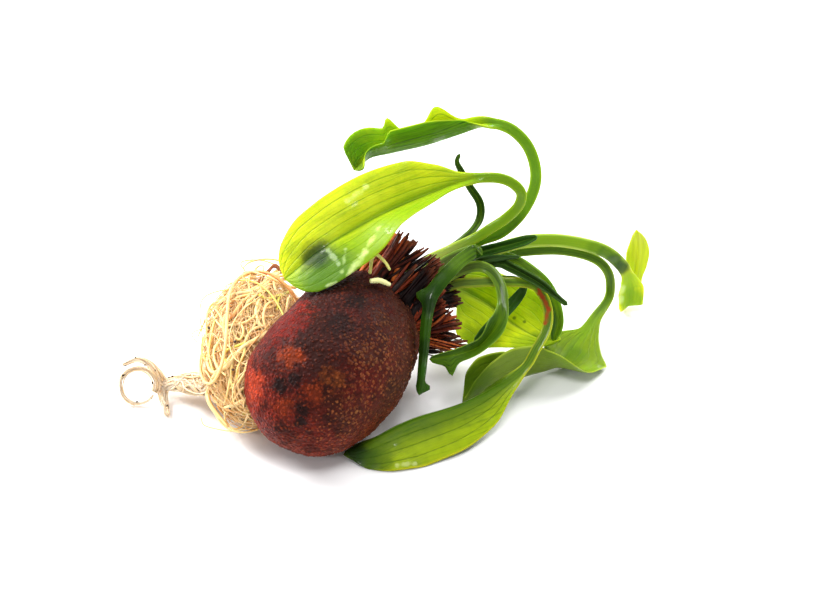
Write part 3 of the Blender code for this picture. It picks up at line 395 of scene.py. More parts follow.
            ((513, 315), 0.38, (70, 96, 8), 0.7), ((523, 319), 0.38, (70, 96, 8), 0.7),
            # The three broad darker patches are painted shade on the lower part of the blade.
            ((480, 345), 5.0, (96, 124, 12), 0.7), ((548, 342), 4.0, (104, 140, 16), 0.8),
            ((524, 345), 3.6, (120, 150, 14), 0.6),
        ],
    ),
    "ribbon_arch_leaf": Leaf(
        "leaf_ribbon_arch", "leaf_dark_green", blade_from=7.0, depth=0.85, glow=0.3, vein_strength=0.4,
        wet=0.25, deep=0.8,
        paints=((104, 142, 20), (36, 74, 12), (58, 98, 18), (116, 150, 22), (130, 164, 60)),
        route=[
            (11.5, 16.6, 13.6), (15.2, 18.7, 14.3), (19.0, 20.4, 15.0), (22.0, 21.2, 15.8),
            (25.0, 21.9, 16.5), (27.6, 21.7, 17.0), (29.6, 20.8, 16.9), (31.8, 19.3, 16.3),
            (33.6, 17.7, 15.4), (35.0, 16.0, 13.9), (35.9, 14.6, 11.8), (36.2, 13.8, 9.3), (35.4, 12.8, 6.4),
        ],
        edges=[(0, 0.75), (7, 0.75), (9, 1.0), (11.4, 1.0), (12, 0.4)],
        folds=[(7, 0), (10, 25), (12, 30)],
    ),
    "dark_strap_leaf": Leaf(
        "leaf_dark_strap", "leaf_dark_green", blade_from=6.0, depth=0.8, ruffle=(0.15, 1.5), glow=0.12,
        vein_strength=0.5, wet=0.3,
        paints=((62, 92, 8), (18, 44, 6), (40, 72, 6), (72, 108, 8), (96, 132, 30)),
        route=[
            (13.2, 14.6, 17.6), (16.0, 16.1, 18.8), (19.0, 17.4, 20.1), (21.8, 17.6, 21.3),
            (23.1, 16.8, 22.3), (22.3, 15.3, 23.2), (20.3, 13.4, 23.0), (18.6, 11.3, 22.6),
            (16.8, 9.1, 21.8), (15.4, 6.9, 20.8), (15.0, 4.9, 19.5), (14.7, 3.0, 17.7), (14.5, 0.9, 15.5),
            (14.2, -0.8, 13.2), (13.9, -2.1, 10.9), (13.6, -3.1, 8.9),
        ],
        edges=[
            (0, 0.9), (3, 1.0), (6, 1.1), (8.6, 1.2), (9.4, 1.4), (10, (1.5, 1.4)), (13, (1.4, 1.3)),
            (14.3, (1.0, 1.1)), (15, 0.3),
        ],
        faces=[
            (0, VIEWER), (3, VIEWER), (4, (0.6, -0.2, 0.75)), (5.4, (0.1, 0.77, -0.6)), (15, (0, 0.8, -0.4)),
        ],
        folds=[(8, 0), (10, (60, 50)), (14, (62, 56)), (15, (20, 30))],
        lobes=[(9.05, -1, 1.3, 0.3, 0.22), (14.5, 1, 1.5, 0.3, 0.2)],
        spots=[
            ((430, 302), 2.4, (14, 34, 8), 0.8), ((425, 345), 2.4, (20, 44, 8), 0.7),
            ((440, 288), 1.6, (24, 54, 8), 0.7), ((424, 372), 1.8, (40, 80, 10), 0.7),
            ((460, 254), 3.2, (96, 132, 26), 0.4),
        ],
        shine=[
            ((448, 262), 1.4), ((440, 272), 1.3), ((430, 290), 1.1), ((427, 312), 1.0), ((424, 365), 1.0),
        ],
    ),
    "loop_leaf": Leaf(
        "leaf_loop", "leaf_dark_green", blade_from=7.0, ruffle=(0.3, 2.4), glow=0.25, vein_strength=0.5,
        wet=0.25, deep=0.6,
        paints=((76, 112, 12), (28, 58, 10), (44, 78, 14), (100, 134, 16), (134, 166, 52)),
        route=[
            (14.5, 13.8, 16.3), (16.6, 14.6, 17.2), (19.0, 15.6, 18.3), (21.2, 16.1, 19.1),
            (23.4, 16.2, 19.4), (25.3, 15.2, 19.0), (26.6, 13.4, 17.8), (27.0, 11.3, 16.2),
            (26.6, 9.2, 14.6), (25.3, 7.4, 13.1), (23.0, 5.7, 11.4), (20.0, 4.9, 10.6), (17.5, 4.6, 10.2),
            (15.2, 4.4, 9.9),
        ],
        edges=[
            (0, 0.9), (7, 0.9), (8, (1.4, 1.3)), (9, (2.4, 1.8)), (10, (2.0, 1.5)), (11, (1.0, 1.3)),
            (12, (0.9, 1.4)), (13, (0.4, 0.6)),
        ],
        faces=[(0, VIEWER), (7.5, VIEWER), (9.5, (0, -0.55, 0.83)), (13, (0, -0.45, 0.9))],
        folds=[(7, 0), (9.5, (58, 40)), (11, (50, 0)), (13, (40, -30))],
        curls=[(7, 0), (9.5, (26, 0)), (11, (10, -20)), (13, (10, -20))],
        lobes=[(11.7, -1, 2.0, 0.36, 0.22)],
    ),
    "grooved_roll_leaf": Leaf(
        "leaf_grooved_roll", "leaf_dark_green", blade_from=4.0, depth=0.8, glow=0.12, vein_strength=0.5,
        wet=0.35,
        paints=((40, 66, 20), (18, 36, 12), (40, 66, 20), (60, 92, 24), (60, 88, 34)),
        route=[
            (13.6, 15.1, 15.5), (16.4, 16.3, 15.7), (19.0, 17.4, 16.3), (21.3, 18.1, 17.0),
            (23.8, 18.3, 18.1), (26.6, 17.8, 18.8), (28.5, 16.5, 18.8), (31.0, 14.9, 18.4),
            (33.4, 13.3, 17.8), (37.4, 10.7, 15.8),
        ],
        edges=[(0, 0.65), (4, 0.7), (6, 1.2), (8, 1.1), (9, 0.25)],
        folds=[(4, 20), (9, 30)],
        curls=[(3, 0), (6, 64), (9, 50)],
    ),
    "blunt_roll_leaf": Leaf(
        "leaf_blunt_roll", "leaf_dark_green", blade_from=2.0, depth=0.8, glow=0.15, vein_strength=0.5,
        wet=0.35,
        paints=((52, 92, 24), (22, 46, 14), (46, 82, 22), (84, 122, 26), (40, 70, 24)),
        route=[
            (12.0, 15.7, 16.7), (15.5, 17.6, 17.6), (19.0, 19.2, 18.4), (23.5, 19.7, 19.5),
            (28.3, 19.9, 20.9), (32.8, 20.5, 22.1),
        ],
        edges=[(0, 0.6), (2, 0.7), (3, 1.3), (4.5, 1.2), (5, 0.4)],
        folds=[(2, 0), (3, 22), (5, 25)],
        curls=[(2, 0), (3, 56), (5, 50)],
    ),
    "short_tip_leaf": Leaf(
        "leaf_short_tip", "leaf_dark_green", blade_from=3.0, depth=0.7, glow=0.12, vein_strength=0.5,
        wet=0.35,
        paints=((36, 62, 20), (16, 34, 12), (34, 56, 20), (54, 84, 24), (44, 72, 28)),
        route=[
            (13.5, 14.8, 16.5), (16.2, 16.2, 17.2), (19.0, 17.5, 17.8), (22.5, 17.5, 19.1),
            (25.5, 17.2, 20.2), (29.9, 16.8, 20.9),
        ],
        edges=[(0, 0.5), (4, 0.6), (5, 0.2)],
        folds=[(1, 0), (4, 20)],
    ),
    "thin_upright_leaf": Leaf(
        "leaf_thin_upright", "leaf_dark_green", blade_from=4.0, depth=0.8, glow=0.12, vein_strength=0.5,
        wet=0.35,
        paints=((46, 76, 14), (22, 44, 18), (42, 70, 14), (96, 130, 24), (104, 130, 72)),
        route=[
            (10.8, 16.3, 17.9), (15.0, 18.6, 19.0), (19.0, 20.6, 20.0), (20.8, 21.8, 20.7),
            (22.4, 23.0, 21.6), (23.5, 24.4, 23.0), (23.4, 25.6, 25.1), (21.8, 26.5, 27.6),
            (20.5, 27.5, 29.8), (19.7, 28.2, 31.4), (20.2, 28.7, 32.7),
        ],
        edges=[(0, 0.5), (4, 0.6), (6, 0.8), (8, 0.6), (10, 0.25)],
        folds=[(3, 0), (6, 40), (10, 30)],
    ),
    "back_roll_leaf": Leaf(
        "leaf_back_roll", "leaf_dark_green", blade_from=6.0, depth=0.8, glow=0.15, vein_strength=0.5,
        wet=0.35,
        paints=((44, 82, 18), (20, 48, 12), (40, 74, 16), (52, 88, 20), (66, 100, 32)),
        route=[
            (13.9, 15.2, 13.2), (16.4, 16.7, 13.8), (19.0, 17.9, 14.4), (24.3, 18.2, 14.7),
            (27.3, 18.5, 14.8), (29.5, 18.6, 14.5), (30.6, 18.0, 13.6), (29.8, 17.0, 12.5),
            (27.6, 15.1, 10.9), (25.1, 13.2, 9.4), (22.5, 11.2, 7.8),
        ],
        edges=[(0, 0.6), (6, 0.65), (8, 1.1), (9.4, 0.9), (10, 0.25)],
        folds=[(6, 0), (8, 30), (10, 40)],
    ),
}

# Where a leaf comes out of the fibres its stalk is pale, over this many millimetres.
PALE_LENGTH = 16.0
PALE_BASE = (196, 204, 108)
UNDER_STRIPES = (18, 44, 10)
LEAF_VEINS = 4

# Of the leaves: the distance between their stations, how far the rib and the veins sink into the upper side
# and stand off the lower one, and the height and size of the slow waves of a blade. The rib is widest at the
# start of the blade, by RIB_WIDENING. Veins and waves set in between two half widths of a blade.
LEAF_STEP = 0.45
RIB_HEIGHTS, RIB_WIDTH, RIB_WIDENING = (0.10, 0.16), 0.35, 0.5
VEIN_HEIGHTS, VEIN_WIDTH, VEINED_FROM = (0.035, 0.03), 0.16, (1.2, 3.0)
BLADE_WAVE, BLADE_WAVE_SIZE, WAVY_FROM = 0.16, 3.4, (1.0, 4.0)

# A stalk's section turns into the blade's over a fifth of the blade, and its channel is a share of its depth.
# A curl of nothing is taken as FLAT_CURL, because it is divided by.
THINNING = 5
CHANNEL_DEPTH = 0.45
FLAT_CURL = 1e-3

# Points of a leaf this near to the ray of a pixel count as seen there.
NEAR_RAY = 0.5

# What the tissue of each leaf is given: its colours and its amounts.
LEAF_PAINTS = ("Blade", "Shade", "Under", "Stalk", "Margin", "Base")
LEAF_AMOUNTS = ("Veins", "Vein Strength", "Wet", "Pale", "Deep", "Deep From")

CURVE_STEPS = 24

# This keeps the coordinates of a lattice above zero.
LATTICE_SHIFT = 4096

# A direction that no strand starts along.
ASKEW = (0.31, 0.17, 0.93)


def linear(colour):
    """A screen colour of 0 to 255 as the linear light that a shader takes."""
    share = np.array(colour, float) / 255.0
    value = np.where(share <= 0.04045, share / 12.92, ((share + 0.055) / 1.055) ** 2.4)
    return (*value, 1.0)


def unit(vectors):
    return vectors / np.maximum(np.linalg.norm(vectors, axis=-1, keepdims=True), 1e-12)


def together(*parts):
    """Arrays of any shapes that fit, as the last axis of one array."""
    return np.stack(np.broadcast_arrays(*parts), axis=-1)


def round_angles(count):
    return np.linspace(0.0, WHOLE_TURN, count, endpoint=False)


def smooth(values, low=0.0, high=1.0):
    """Rises from 0 at low to 1 at high along the cubic 3t2 - 2t3."""
    t = np.clip((values - low) / (high - low), 0.0, 1.0)
    return t * t * (3 - 2 * t)


def scatter(cells, seed):
    """Three numbers from 0 to 1 for each cell of a lattice, from its whole coordinates and the seed, which
    are multiplied by large odd numbers and mixed."""
    whole = np.uint64
    x, y, z = (cells[..., k].astype(whole) for k in range(3))
    mixed = x * whole(73856093) ^ y * whole(19349663) ^ z * whole(83492791) ^ whole(seed * 2654435761)
    out = []
    for turn in (1, 2, 3):
        mixed = (mixed ^ (mixed >> whole(29))) * whole(0xBF58476D1CE4E5B9 + 2 * turn)
        mixed = (mixed ^ (mixed >> whole(32))) * whole(0x94D049BB133111EB)
        out.append((mixed >> whole(40)).astype(float) / float(1 << 24))
    return np.stack(out, axis=-1)


def grains(points, size, seed):
    """How far each point is, in cells, from the nearest of the centres that are scattered one to a cell."""
    base = np.floor(points / size)
    nearest = np.full(points.shape[:-1], np.inf)
    for step in product((-1, 0, 1), repeat=3):
        cell = base + np.array(step)
        place = scatter(cell + LATTICE_SHIFT, seed)
        nearest = np.minimum(nearest, np.linalg.norm(points / size - cell - place, axis=-1))
    return nearest


def swell(points, size, seed):
    """Soft noise from -1 to 1: the lattice's values blended by the cubic 3t2 - 2t3 along each axis."""
    place = points / size
    base = np.floor(place)
    t = smooth(place - base)
    total = np.zeros(points.shape[:-1])
    for corner in product((0, 1), repeat=3):
        corner = np.array(corner)
        weight = np.prod(np.where(corner == 1, t, 1 - t), axis=-1)
        total += weight * scatter(base + corner + LATTICE_SHIFT, seed)[..., 1]
    return total * 2 - 1


def curve_through(points, count):
    """Points at even distances along a smooth curve through the given points, where each one lies, and the
    curve's length. Between two knots it is a cubic whose slope at each is half the step between the knots
    on either side of it."""
    knots = np.asarray(points, float)
    padded = np.vstack([2 * knots[0] - knots[1], knots, 2 * knots[-1] - knots[-2]])
    steps = np.linspace(0.0, 1.0, CURVE_STEPS, endpoint=False)[:, None]
    pieces = []
    for a, b, c, d in zip(padded, padded[1:], padded[2:], padded[3:]):
        bend = 2 * a - 5 * b + 4 * c - d
        twist = -a + 3 * b - 3 * c + d
        pieces.append(0.5 * (2 * b + (c - a) * steps + bend * steps**2 + twist * steps**3))
    fine = np.vstack([*pieces, knots[-1:]])
    travelled = np.concatenate([[0.0], np.cumsum(np.linalg.norm(np.diff(fine, axis=0), axis=1))])
    wanted = np.linspace(0.0, travelled[-1], count)
    centre = np.stack([np.interp(wanted, travelled, fine[:, k]) for k in range(3)], axis=1)
    return centre, np.interp(wanted, travelled, np.linspace(0.0, len(knots) - 1, len(fine))), travelled[-1]


def smooth_keys(keys, place):
    """The value at each place, on a smooth line through the keys that stays between neighbouring keys."""
    x = np.array([k[0] for k in keys], float)
    y = np.array([k[1] for k in keys], float)
    if len(keys) == 1:
        return np.repeat(y, len(place), axis=0)
    slope = np.diff(y, axis=0) / np.diff(x)[:, None]
    tangent = np.zeros_like(y)
    before, after = slope[:-1], slope[1:]
    same_way = before * after > 0
    tangent[1:-1] = np.where(same_way, 2 * before * after / np.where(same_way, before + after, 1.0), 0.0)
    i = np.clip(np.searchsorted(x, place, side="right") - 1, 0, len(x) - 2)
    width = (x[i + 1] - x[i])[:, None]
    t = np.clip((place[:, None] - x[i][:, None]) / width, 0.0, 1.0)
    rising = smooth(t)
    start_pull = t * (1 - t) ** 2 * width * tangent[i]
    end_pull = t * t * (t - 1) * width * tangent[i + 1]
    return y[i] * (1 - rising) + y[i + 1] * rising + start_pull + end_pull


def put_in_scene(name, data):
    made = bpy.data.objects.new(name, data)
    bpy.context.scene.collection.objects.link(made)
    return made


def add_piece(name, points, faces, material, stands_for, slot, **layers):
    """A mesh from points in millimetres and arrays of faces, with layers of a number or vector per point."""
    mesh = bpy.data.meshes.new(name)
    mesh.vertices.add(len(points))
    mesh.vertices.foreach_set("co", ((points + SHIFT) * MM).astype(np.float32).ravel())
    corners = np.concatenate([f.ravel() for f in faces])
    sizes = np.concatenate([np.full(len(f), f.shape[1]) for f in faces])
    mesh.loops.add(len(corners))
    mesh.loops.foreach_set("vertex_index", corners.astype(np.int32))
    mesh.polygons.add(len(sizes))
    mesh.polygons.foreach_set("loop_start", np.concatenate([[0], np.cumsum(sizes)[:-1]]).astype(np.int32))
    mesh.update(calc_edges=True)
    mesh.validate()
    mesh.shade_smooth()
    for key, data in layers.items():
        kind, field_name = ("FLOAT_VECTOR", "vector") if data.ndim == 2 else ("FLOAT", "value")
        layer = mesh.attributes.new(key, kind, "POINT")
        layer.data.foreach_set(field_name, data.astype(np.float32).ravel())
    mesh.materials.append(material)
    piece = put_in_scene(name, mesh)
    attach(piece, "root")
    if stands_for:
        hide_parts(stands_for)


def skins(rings, starts, ends):
    """Closed skins over rings of points that run clockwise as one looks along the strand.

    rings has the axes strand, station, round and coordinate. Each strand's points are its start, its rings
    and its end, and its faces are a fan at each end and bands of four corners between the rings.
    """
    strands, stations, around = rings.shape[:3]
    points = np.concatenate([starts[:, None], rings.reshape(strands, -1, 3), ends[:, None]], axis=1)
    first = (np.arange(strands) * points.shape[1])[:, None, None]
    i = np.arange(stations - 1)[None, :, None]
    j = np.arange(around)[None, None, :]
    k = (j + 1) % around
    corner = first + 1 + i * around
    last = first + 1 + (stations - 1) * around
    bands = together(corner + j, corner + k, corner + around + k, corner + around + j)
    start_fan = together(first, first + 1 + k, first + 1 + j)
    end_fan = together(first + points.shape[1] - 1, last + j, last + k)
    return points.reshape(-1, 3), [bands.reshape(-1, 4), start_fan.reshape(-1, 3), end_fan.reshape(-1, 3)]


def spread(ring_values, start_values, end_values):
    """Values of rings, of starts and of ends in the order of the points that skins gives."""
    tail = ring_values.shape[3:]
    middle = ring_values.reshape(len(ring_values), -1, *tail)
    joined = np.concatenate([start_values[:, None], middle, end_values[:, None]], axis=1)
    return joined.reshape(-1, *tail)


def tubes(paths, radii, sides, flatness=1.0):
    """Rings round many paths at once. Each ring's first direction is carried along its path without twist:
    n(i) is n(i-1) less its part along the path. The ring is scaled by flatness along that direction."""
    along = unit(np.gradient(paths, axis=1))
    start = np.cross(along[:, 0], ASKEW)
    lift = [unit(np.cross(start, along[:, 0]))]
    for i in range(1, paths.shape[1]):
        lift.append(unit(lift[-1] - along[:, i] * np.sum(lift[-1] * along[:, i], axis=-1, keepdims=True)))
    lift = np.stack(lift, axis=1)
    right = np.cross(along, lift)
    angle = round_angles(sides)[:, None]
    ring = lift[:, :, None] * (np.cos(angle) * flatness) + right[:, :, None] * np.sin(angle)
    return paths[:, :, None] + ring * radii[:, :, None, None]


def leaf_rings(leaf):
    """The rings round a leaf, its ends, the values at each of their points and its length.

    Across a half of the leaf the surface turns from the fold angle at the midrib by the curl angle at the
    margin: out = half (sin turn - sin fold) / curl and up = half (cos fold - cos turn) / curl. The two sides
    lie off it by a depth that falls to nothing at the margins as the root of 1 - across to a power.
    """
    stations = int(curve_through(leaf.route, 2)[2] / LEAF_STEP)
    centre, place, length = curve_through(leaf.route, stations)
    along = unit(np.gradient(centre, axis=0)[:-1])
    tip = centre[-1]
    centre, place = centre[:-1], place[:-1]
    travel = np.linspace(0.0, length, stations)[:-1, None]
    face = smooth_keys(leaf.faces, place)
    face = unit(face - along * np.sum(face * along, axis=1, keepdims=True))
    side = np.cross(along, face)

    across = np.sin(np.linspace(-np.pi / 2, np.pi / 2, leaf.columns))[None, :]
    is_right = across >= 0
    hand = np.where(is_right, 1.0, -1.0)
    reach = np.abs(across)

    def of_half(table):
        both = smooth_keys([(where, np.broadcast_to(value, 2)) for where, value in table], place)
        return np.where(is_right, both[:, :1], both[:, 1:])

    half = of_half(leaf.edges)
    for middle, lobe_side, width, before, after in leaf.lobes:
        bell = np.exp(-(((place - middle) / np.where(place < middle, before, after)) ** 2))[:, None]
        half = half + np.where(hand == lobe_side, width * bell, 0.0)
    fold = np.radians(of_half(leaf.folds))
    curl = np.radians(of_half(leaf.curls))
    curl = np.where(np.abs(curl) < FLAT_CURL, FLAT_CURL, curl)
    turn = fold + curl * reach
    out = half * (np.sin(turn) - np.sin(fold)) / curl
    up = half * (np.cos(fold) - np.cos(turn)) / curl

    last = len(leaf.route) - 1
    blade = np.clip((place - leaf.blade_from) / max(last - leaf.blade_from, 1.0), 0.0, 1.0)[:, None]
    thin = smooth(blade * THINNING)
    depth = leaf.depth / 2 * (1 - thin) + leaf.thickness / 2 * thin
    height, waves = leaf.ruffle
    wave = height * np.sqrt(blade) * (1 - blade**6) * reach**2 * np.sin(WHOLE_TURN * waves * blade + hand)
    in_middle = reach < 1e-9
    normal_out = np.where(in_middle, 0.0, -hand * np.sin(turn))
    normal_up = np.where(in_middle, 1.0, np.cos(turn))
    base = centre[:, None, :] + (hand * out)[..., None] * side[:, None, :] + up[..., None] * face[:, None, :]
    broad = smooth(half, *WAVY_FROM)
    wave = wave + BLADE_WAVE * thin * broad * swell(base, BLADE_WAVE_SIZE, len(leaf.node))
    rib = thin * np.exp(-((across * half / (RIB_WIDTH + RIB_WIDENING * (1 - blade))) ** 2))
    beside_vein = np.abs((across * LEAF_VEINS + 0.5) % 1.0 - 0.5) * half / LEAF_VEINS
    vein = thin * np.exp(-((beside_vein / VEIN_WIDTH) ** 2)) * smooth(half, *VEINED_FROM)

    def surface(offset):
        sideways = (hand * out + normal_out * (offset + wave))[..., None] * side[:, None, :]
        rising = (up + normal_up * (offset + wave))[..., None] * face[:, None, :]
        return centre[:, None, :] + sideways + rising

    bulge = np.sqrt(1 - reach ** (2 + 4 * thin))
    channel = CHANNEL_DEPTH * (1 - thin) * (1 - across**2)
    upper = surface(depth * (bulge - channel) - RIB_HEIGHTS[0] * rib - VEIN_HEIGHTS[0] * vein)
    lower = surface(-depth * bulge - RIB_HEIGHTS[1] * rib - VEIN_HEIGHTS[1] * vein)
    rings = np.concatenate([upper, lower[:, -2:0:-1]], axis=1)
    span = together(across * half, travel, blade)
    extra = together(half, length - travel, across)
    return rings, centre[0], tip, span, extra, length


def build_leaf(name, leaf):
    rings, root, tip, span, extra, length = leaf_rings(leaf)
    points, faces = skins(rings[None], root[None], tip[None])
    under = np.zeros(rings.shape[:2])
    under[:, leaf.columns:] = 1.0

    def all_round(values, at_tip):
        ring = np.concatenate([values, values[:, -2:0:-1]], axis=1)[None]
        return spread(ring, ring[:, 0].mean(axis=1), np.array([at_tip]))

    add_piece(
        name, points, faces, leaf_material(name, leaf), leaf.node, leaf.slot,
        span=all_round(span, (0.0, length, 1.0)),
        extra=all_round(extra, (0.2, 0.0, 0.0)),
        under=spread(under[None], np.zeros(1), np.zeros(1)),
    )


def by_math(operation, turned=False):
    """A way to join a wire with another value by a Math node, with the two turned round if need be."""
    def join(self, other=None):
        pair = (other, self) if turned else (self, other)
        numbers = {place: value for place, value in enumerate(pair) if value is not None}
        return wire(self.tree, "ShaderNodeMath", numbers, operation=operation)
    return join


class Wire:
    """A value that comes out of a material's node, to be reckoned with like a number."""

    def __init__(self, socket):
        self.socket = socket
        self.tree = socket.id_data

    __add__ = by_math("ADD")
    __sub__ = by_math("SUBTRACT")
    __rsub__ = by_math("SUBTRACT", turned=True)
    __mul__ = by_math("MULTIPLY")
    __truediv__ = by_math("DIVIDE")
    __abs__ = by_math("ABSOLUTE")
    greater = by_math("MAXIMUM")
    to_and_fro = by_math("PINGPONG")


def feed(made, inputs):
    """Links wires to the inputs of a node and sets its other inputs to the values given."""
    for key, value in inputs.items():
        if isinstance(value, Wire):
            made.id_data.links.new(value.socket, made.inputs[key])
        else:
            made.inputs[key].default_value = value


def node(tree, kind, inputs, **settings):
    made = tree.nodes.new(kind)
    for key, value in settings.items():
        setattr(made, key, value)
    feed(made, inputs)
    return made


def wire(tree, kind, inputs, output=0, **settings):
    """One of the values that a new node gives."""
    return Wire(node(tree, kind, inputs, **settings).outputs[output])


def mix(share, first, second):
    """The first colour where share is 0 and the second where it is 1."""
    return wire(share.tree, "ShaderNodeMix", {0: share, 6: first, 7: second}, 2, data_type="RGBA")


def rise(value, low, high, bottom=0.0, top=1.0):
    """Goes from bottom, where value is low or less, to top, where it is high or more."""
    inputs = {"Value": value, "From Min": low, "From Max": high, "To Min": bottom, "To Max": top}
    return wire(value.tree, "ShaderNodeMapRange", inputs, interpolation_type="SMOOTHSTEP")


def noise(vector, scale, detail, roughness=0.55, output="Fac"):
    inputs = {"Vector": vector, "Scale": scale, "Detail": detail, "Roughness": roughness}
    return wire(vector.tree, "ShaderNodeTexNoise", inputs, output)


def vectors(operation, first, second, output="Vector"):
    """A Vector Math node. The number by which it scales is its fourth input."""
    inputs = {0: first, 3 if operation == "SCALE" else 1: second}
    tree = first.tree if isinstance(first, Wire) else second.tree
    return wire(tree, "ShaderNodeVectorMath", inputs, output, operation=operation)


def split(vector):
    """The three numbers of a vector or a colour."""
    return [Wire(part) for part in node(vector.tree, "ShaderNodeSeparateXYZ", {0: vector}).outputs]


def read(tree, name, output="Vector"):
    """An attribute of the piece."""
    return wire(tree, "ShaderNodeAttribute", {}, output, attribute_name=name)


def object_place(tree):
    """The place on the piece in metres."""
    return wire(tree, "ShaderNodeTexCoord", {}, "Object")


def relief_normal(height, distance, strength=1.0):
    """The normal of a surface that stands out by the distance where the height is 1."""
    inputs = {"Height": height, "Distance": distance, "Strength": strength}
    return wire(height.tree, "ShaderNodeBump", inputs, "Normal")


def new_material(name):
    material = bpy.data.materials.new(name)
    material.use_nodes = True
    tree = material.node_tree
    return material, tree, tree.nodes["Principled BSDF"]


def leaf_group():
    """The colour, gloss and relief that all leaves share.

    Long veins run at even shares of the width and short ones slant between them in rows. Streaks are noise
    that is drawn out along the leaf. On its upper side the stalk is painted darker along its channel, as
    painted shade, and lighter towards its edges, as painted highlight lines, and the blade has a rib.
    """
    tree = bpy.data.node_groups.new("leaf_tissue", "ShaderNodeTree")
    for keys, way, kind in (
        (LEAF_PAINTS, "INPUT", "NodeSocketColor"), (LEAF_AMOUNTS, "INPUT", "NodeSocketFloat"),
        (("Color",), "OUTPUT", "NodeSocketColor"), (("Film", "Height"), "OUTPUT", "NodeSocketFloat"),
    ):
        for key in keys:
            tree.interface.new_socket(key, in_out=way, socket_type=kind)
    given = tree.nodes.new("NodeGroupInput").outputs
    blade_paint, shade, under, stalk_paint, margin, base = (Wire(given[key]) for key in LEAF_PAINTS)
    vein_count, vein_strength, wet, pale, deep, deep_from = (Wire(given[key]) for key in LEAF_AMOUNTS)
    sideways, travel, blade = split(read(tree, "span"))
    half, to_tip, across = split(read(tree, "extra"))
    below = read(tree, "under", "Fac")
    place = object_place(tree)

    on_blade = rise(blade, 0.02, 0.22)
    cloudy = noise(place, 260.0, 3.0, 0.6)
    mottle = noise(place, 900.0, 3.0, 0.6)
    fine = noise(place, 3200.0, 2.0, 0.6)
    drawn_out = wire(tree, "ShaderNodeCombineXYZ", {0: sideways * 3.2, 1: travel * 0.10})
    streaks = noise(drawn_out, 1.0, 3.0, 0.65)

    lines = (across * vein_count + (cloudy - 0.5) * 0.18 + 20.0).to_and_fro(0.5) * half / vein_count
    rows = ((travel + abs(sideways) * 0.35 + mottle * 2.4) / 0.9).to_and_fro(0.5)
    cross_vein = rise(rows, 0.02, 0.16, 1.0, 0.0) * rise(cloudy, 0.4, 0.7, 0.0, 0.16)
    veins = rise(lines, 0.03, 0.14, 1.0, 0.0).greater(cross_vein) * on_blade * rise(half, 1.0, 2.6)
    veins = veins * rise(mottle, 0.3, 0.55, 0.55, 1.0)
    rib = rise(abs(sideways) / rise(to_tip, 2.0, 26.0, 0.2, 1.1), 0.3, 1.1, 1.0, 0.0) * on_blade

    dark = rise(cloudy, 0.35, 0.75) * 0.3 + rise(streaks, 0.42, 0.75, 0.0, 0.35)
    tone = mix(dark, blade_paint, shade)
    tone = mix(rib * 0.6, tone, stalk_paint)
    deep_side = rise(across * deep - deep_from, 0.0, 0.75) * rise(abs(deep), 0.0, 0.1)
    tone = mix(deep_side * rise(streaks, 0.2, 0.6, 1.0, 0.75), tone, shade)
    stalk = mix(rise(streaks, 0.3, 0.65, 0.0, 0.8), stalk_paint, shade)
    # On the stalk's upper side: painted shade along the channel, then painted highlight lines towards the
    # edges.
    above = 1.0 - below
    stalk = mix(rise(abs(across), 0.15, 0.6, 0.45, 0.0) * above, stalk, shade)
    stalk = mix(rise(abs(across), 0.5, 0.85, 0.0, 0.35) * above, stalk, margin)
    tone = mix(on_blade, stalk, tone)
    lower = mix(rise(streaks, 0.4, 0.7) * vein_strength, under, linear(UNDER_STRIPES))
    tone = mix(below * on_blade, tone, lower)
    tone = mix(rise(abs(across), 0.93, 0.99) * 0.75, tone, margin)
    tone = mix(veins * vein_strength * rise(below, 0.0, 1.0, 1.0, 0.35), tone, shade)
    tone = mix(rise(travel + streaks * 5.0, 8.0, PALE_LENGTH, 1.0, 0.0) * pale, tone, base)

    film = rise(cloudy + (wet - 0.5) * 0.5, 0.48, 0.56)
    sheen = rise(streaks, 0.35, 0.5, 0.2, 1.0) * (1.0 - on_blade)
    relief = streaks * 0.5 + mottle * 0.5 + fine * 0.08 - veins * 0.3
    ends = {"Color": tone, "Film": film.greater(sheen), "Height": relief}
    feed(tree.nodes.new("NodeGroupOutput"), ends)


def leaf_material(name, leaf):
    """Thin wet tissue that lets some light through."""
    material, tree, shader = new_material(name)
    tissue = node(tree, "ShaderNodeGroup", {}, node_tree=bpy.data.node_groups["leaf_tissue"])
    feed(tissue, {key: linear(paint) for key, paint in zip(LEAF_PAINTS, (*leaf.paints, PALE_BASE))})
    amounts = (LEAF_VEINS, leaf.vein_strength, leaf.wet, leaf.pale, leaf.deep, leaf.deep_from)
    feed(tissue, dict(zip(LEAF_AMOUNTS, amounts)))
    colour, film, height = (Wire(output) for output in tissue.outputs)
    film = film * 0.22
    for pixel, size, paint, share in leaf.spots:
        colour = mix(spot(tree, on_leaf(leaf, pixel), size, 0.35, 500.0) * share, colour, linear(paint))
    for start, end, size, paint, share in leaf.streaks:
        line = streak(tree, on_leaf(leaf, start), on_leaf(leaf, end), size)
        colour = mix(line * share, colour, linear(paint))
    for pixel, size in leaf.shine:
        film = film.greater(spot(tree, on_leaf(leaf, pixel), size, 0.9, 1100.0) * 0.65)
    feed(shader, {
        "Base Color": colour,
        "Coat Weight": film,
        "Coat Roughness": 0.09,
        "Roughness": 0.4,
        "Specular IOR Level": 0.09,
        "Subsurface Weight": leaf.glow,
        "Subsurface Radius": (0.7, 1.0, 0.1),
        "Subsurface Scale": 0.0012,
        "Normal": relief_normal(height, 0.00014),
    })
    return material


def in_metres(point):
    """A place on the piece, from the grower's frame."""
    return (np.array(point) + SHIFT) * MM


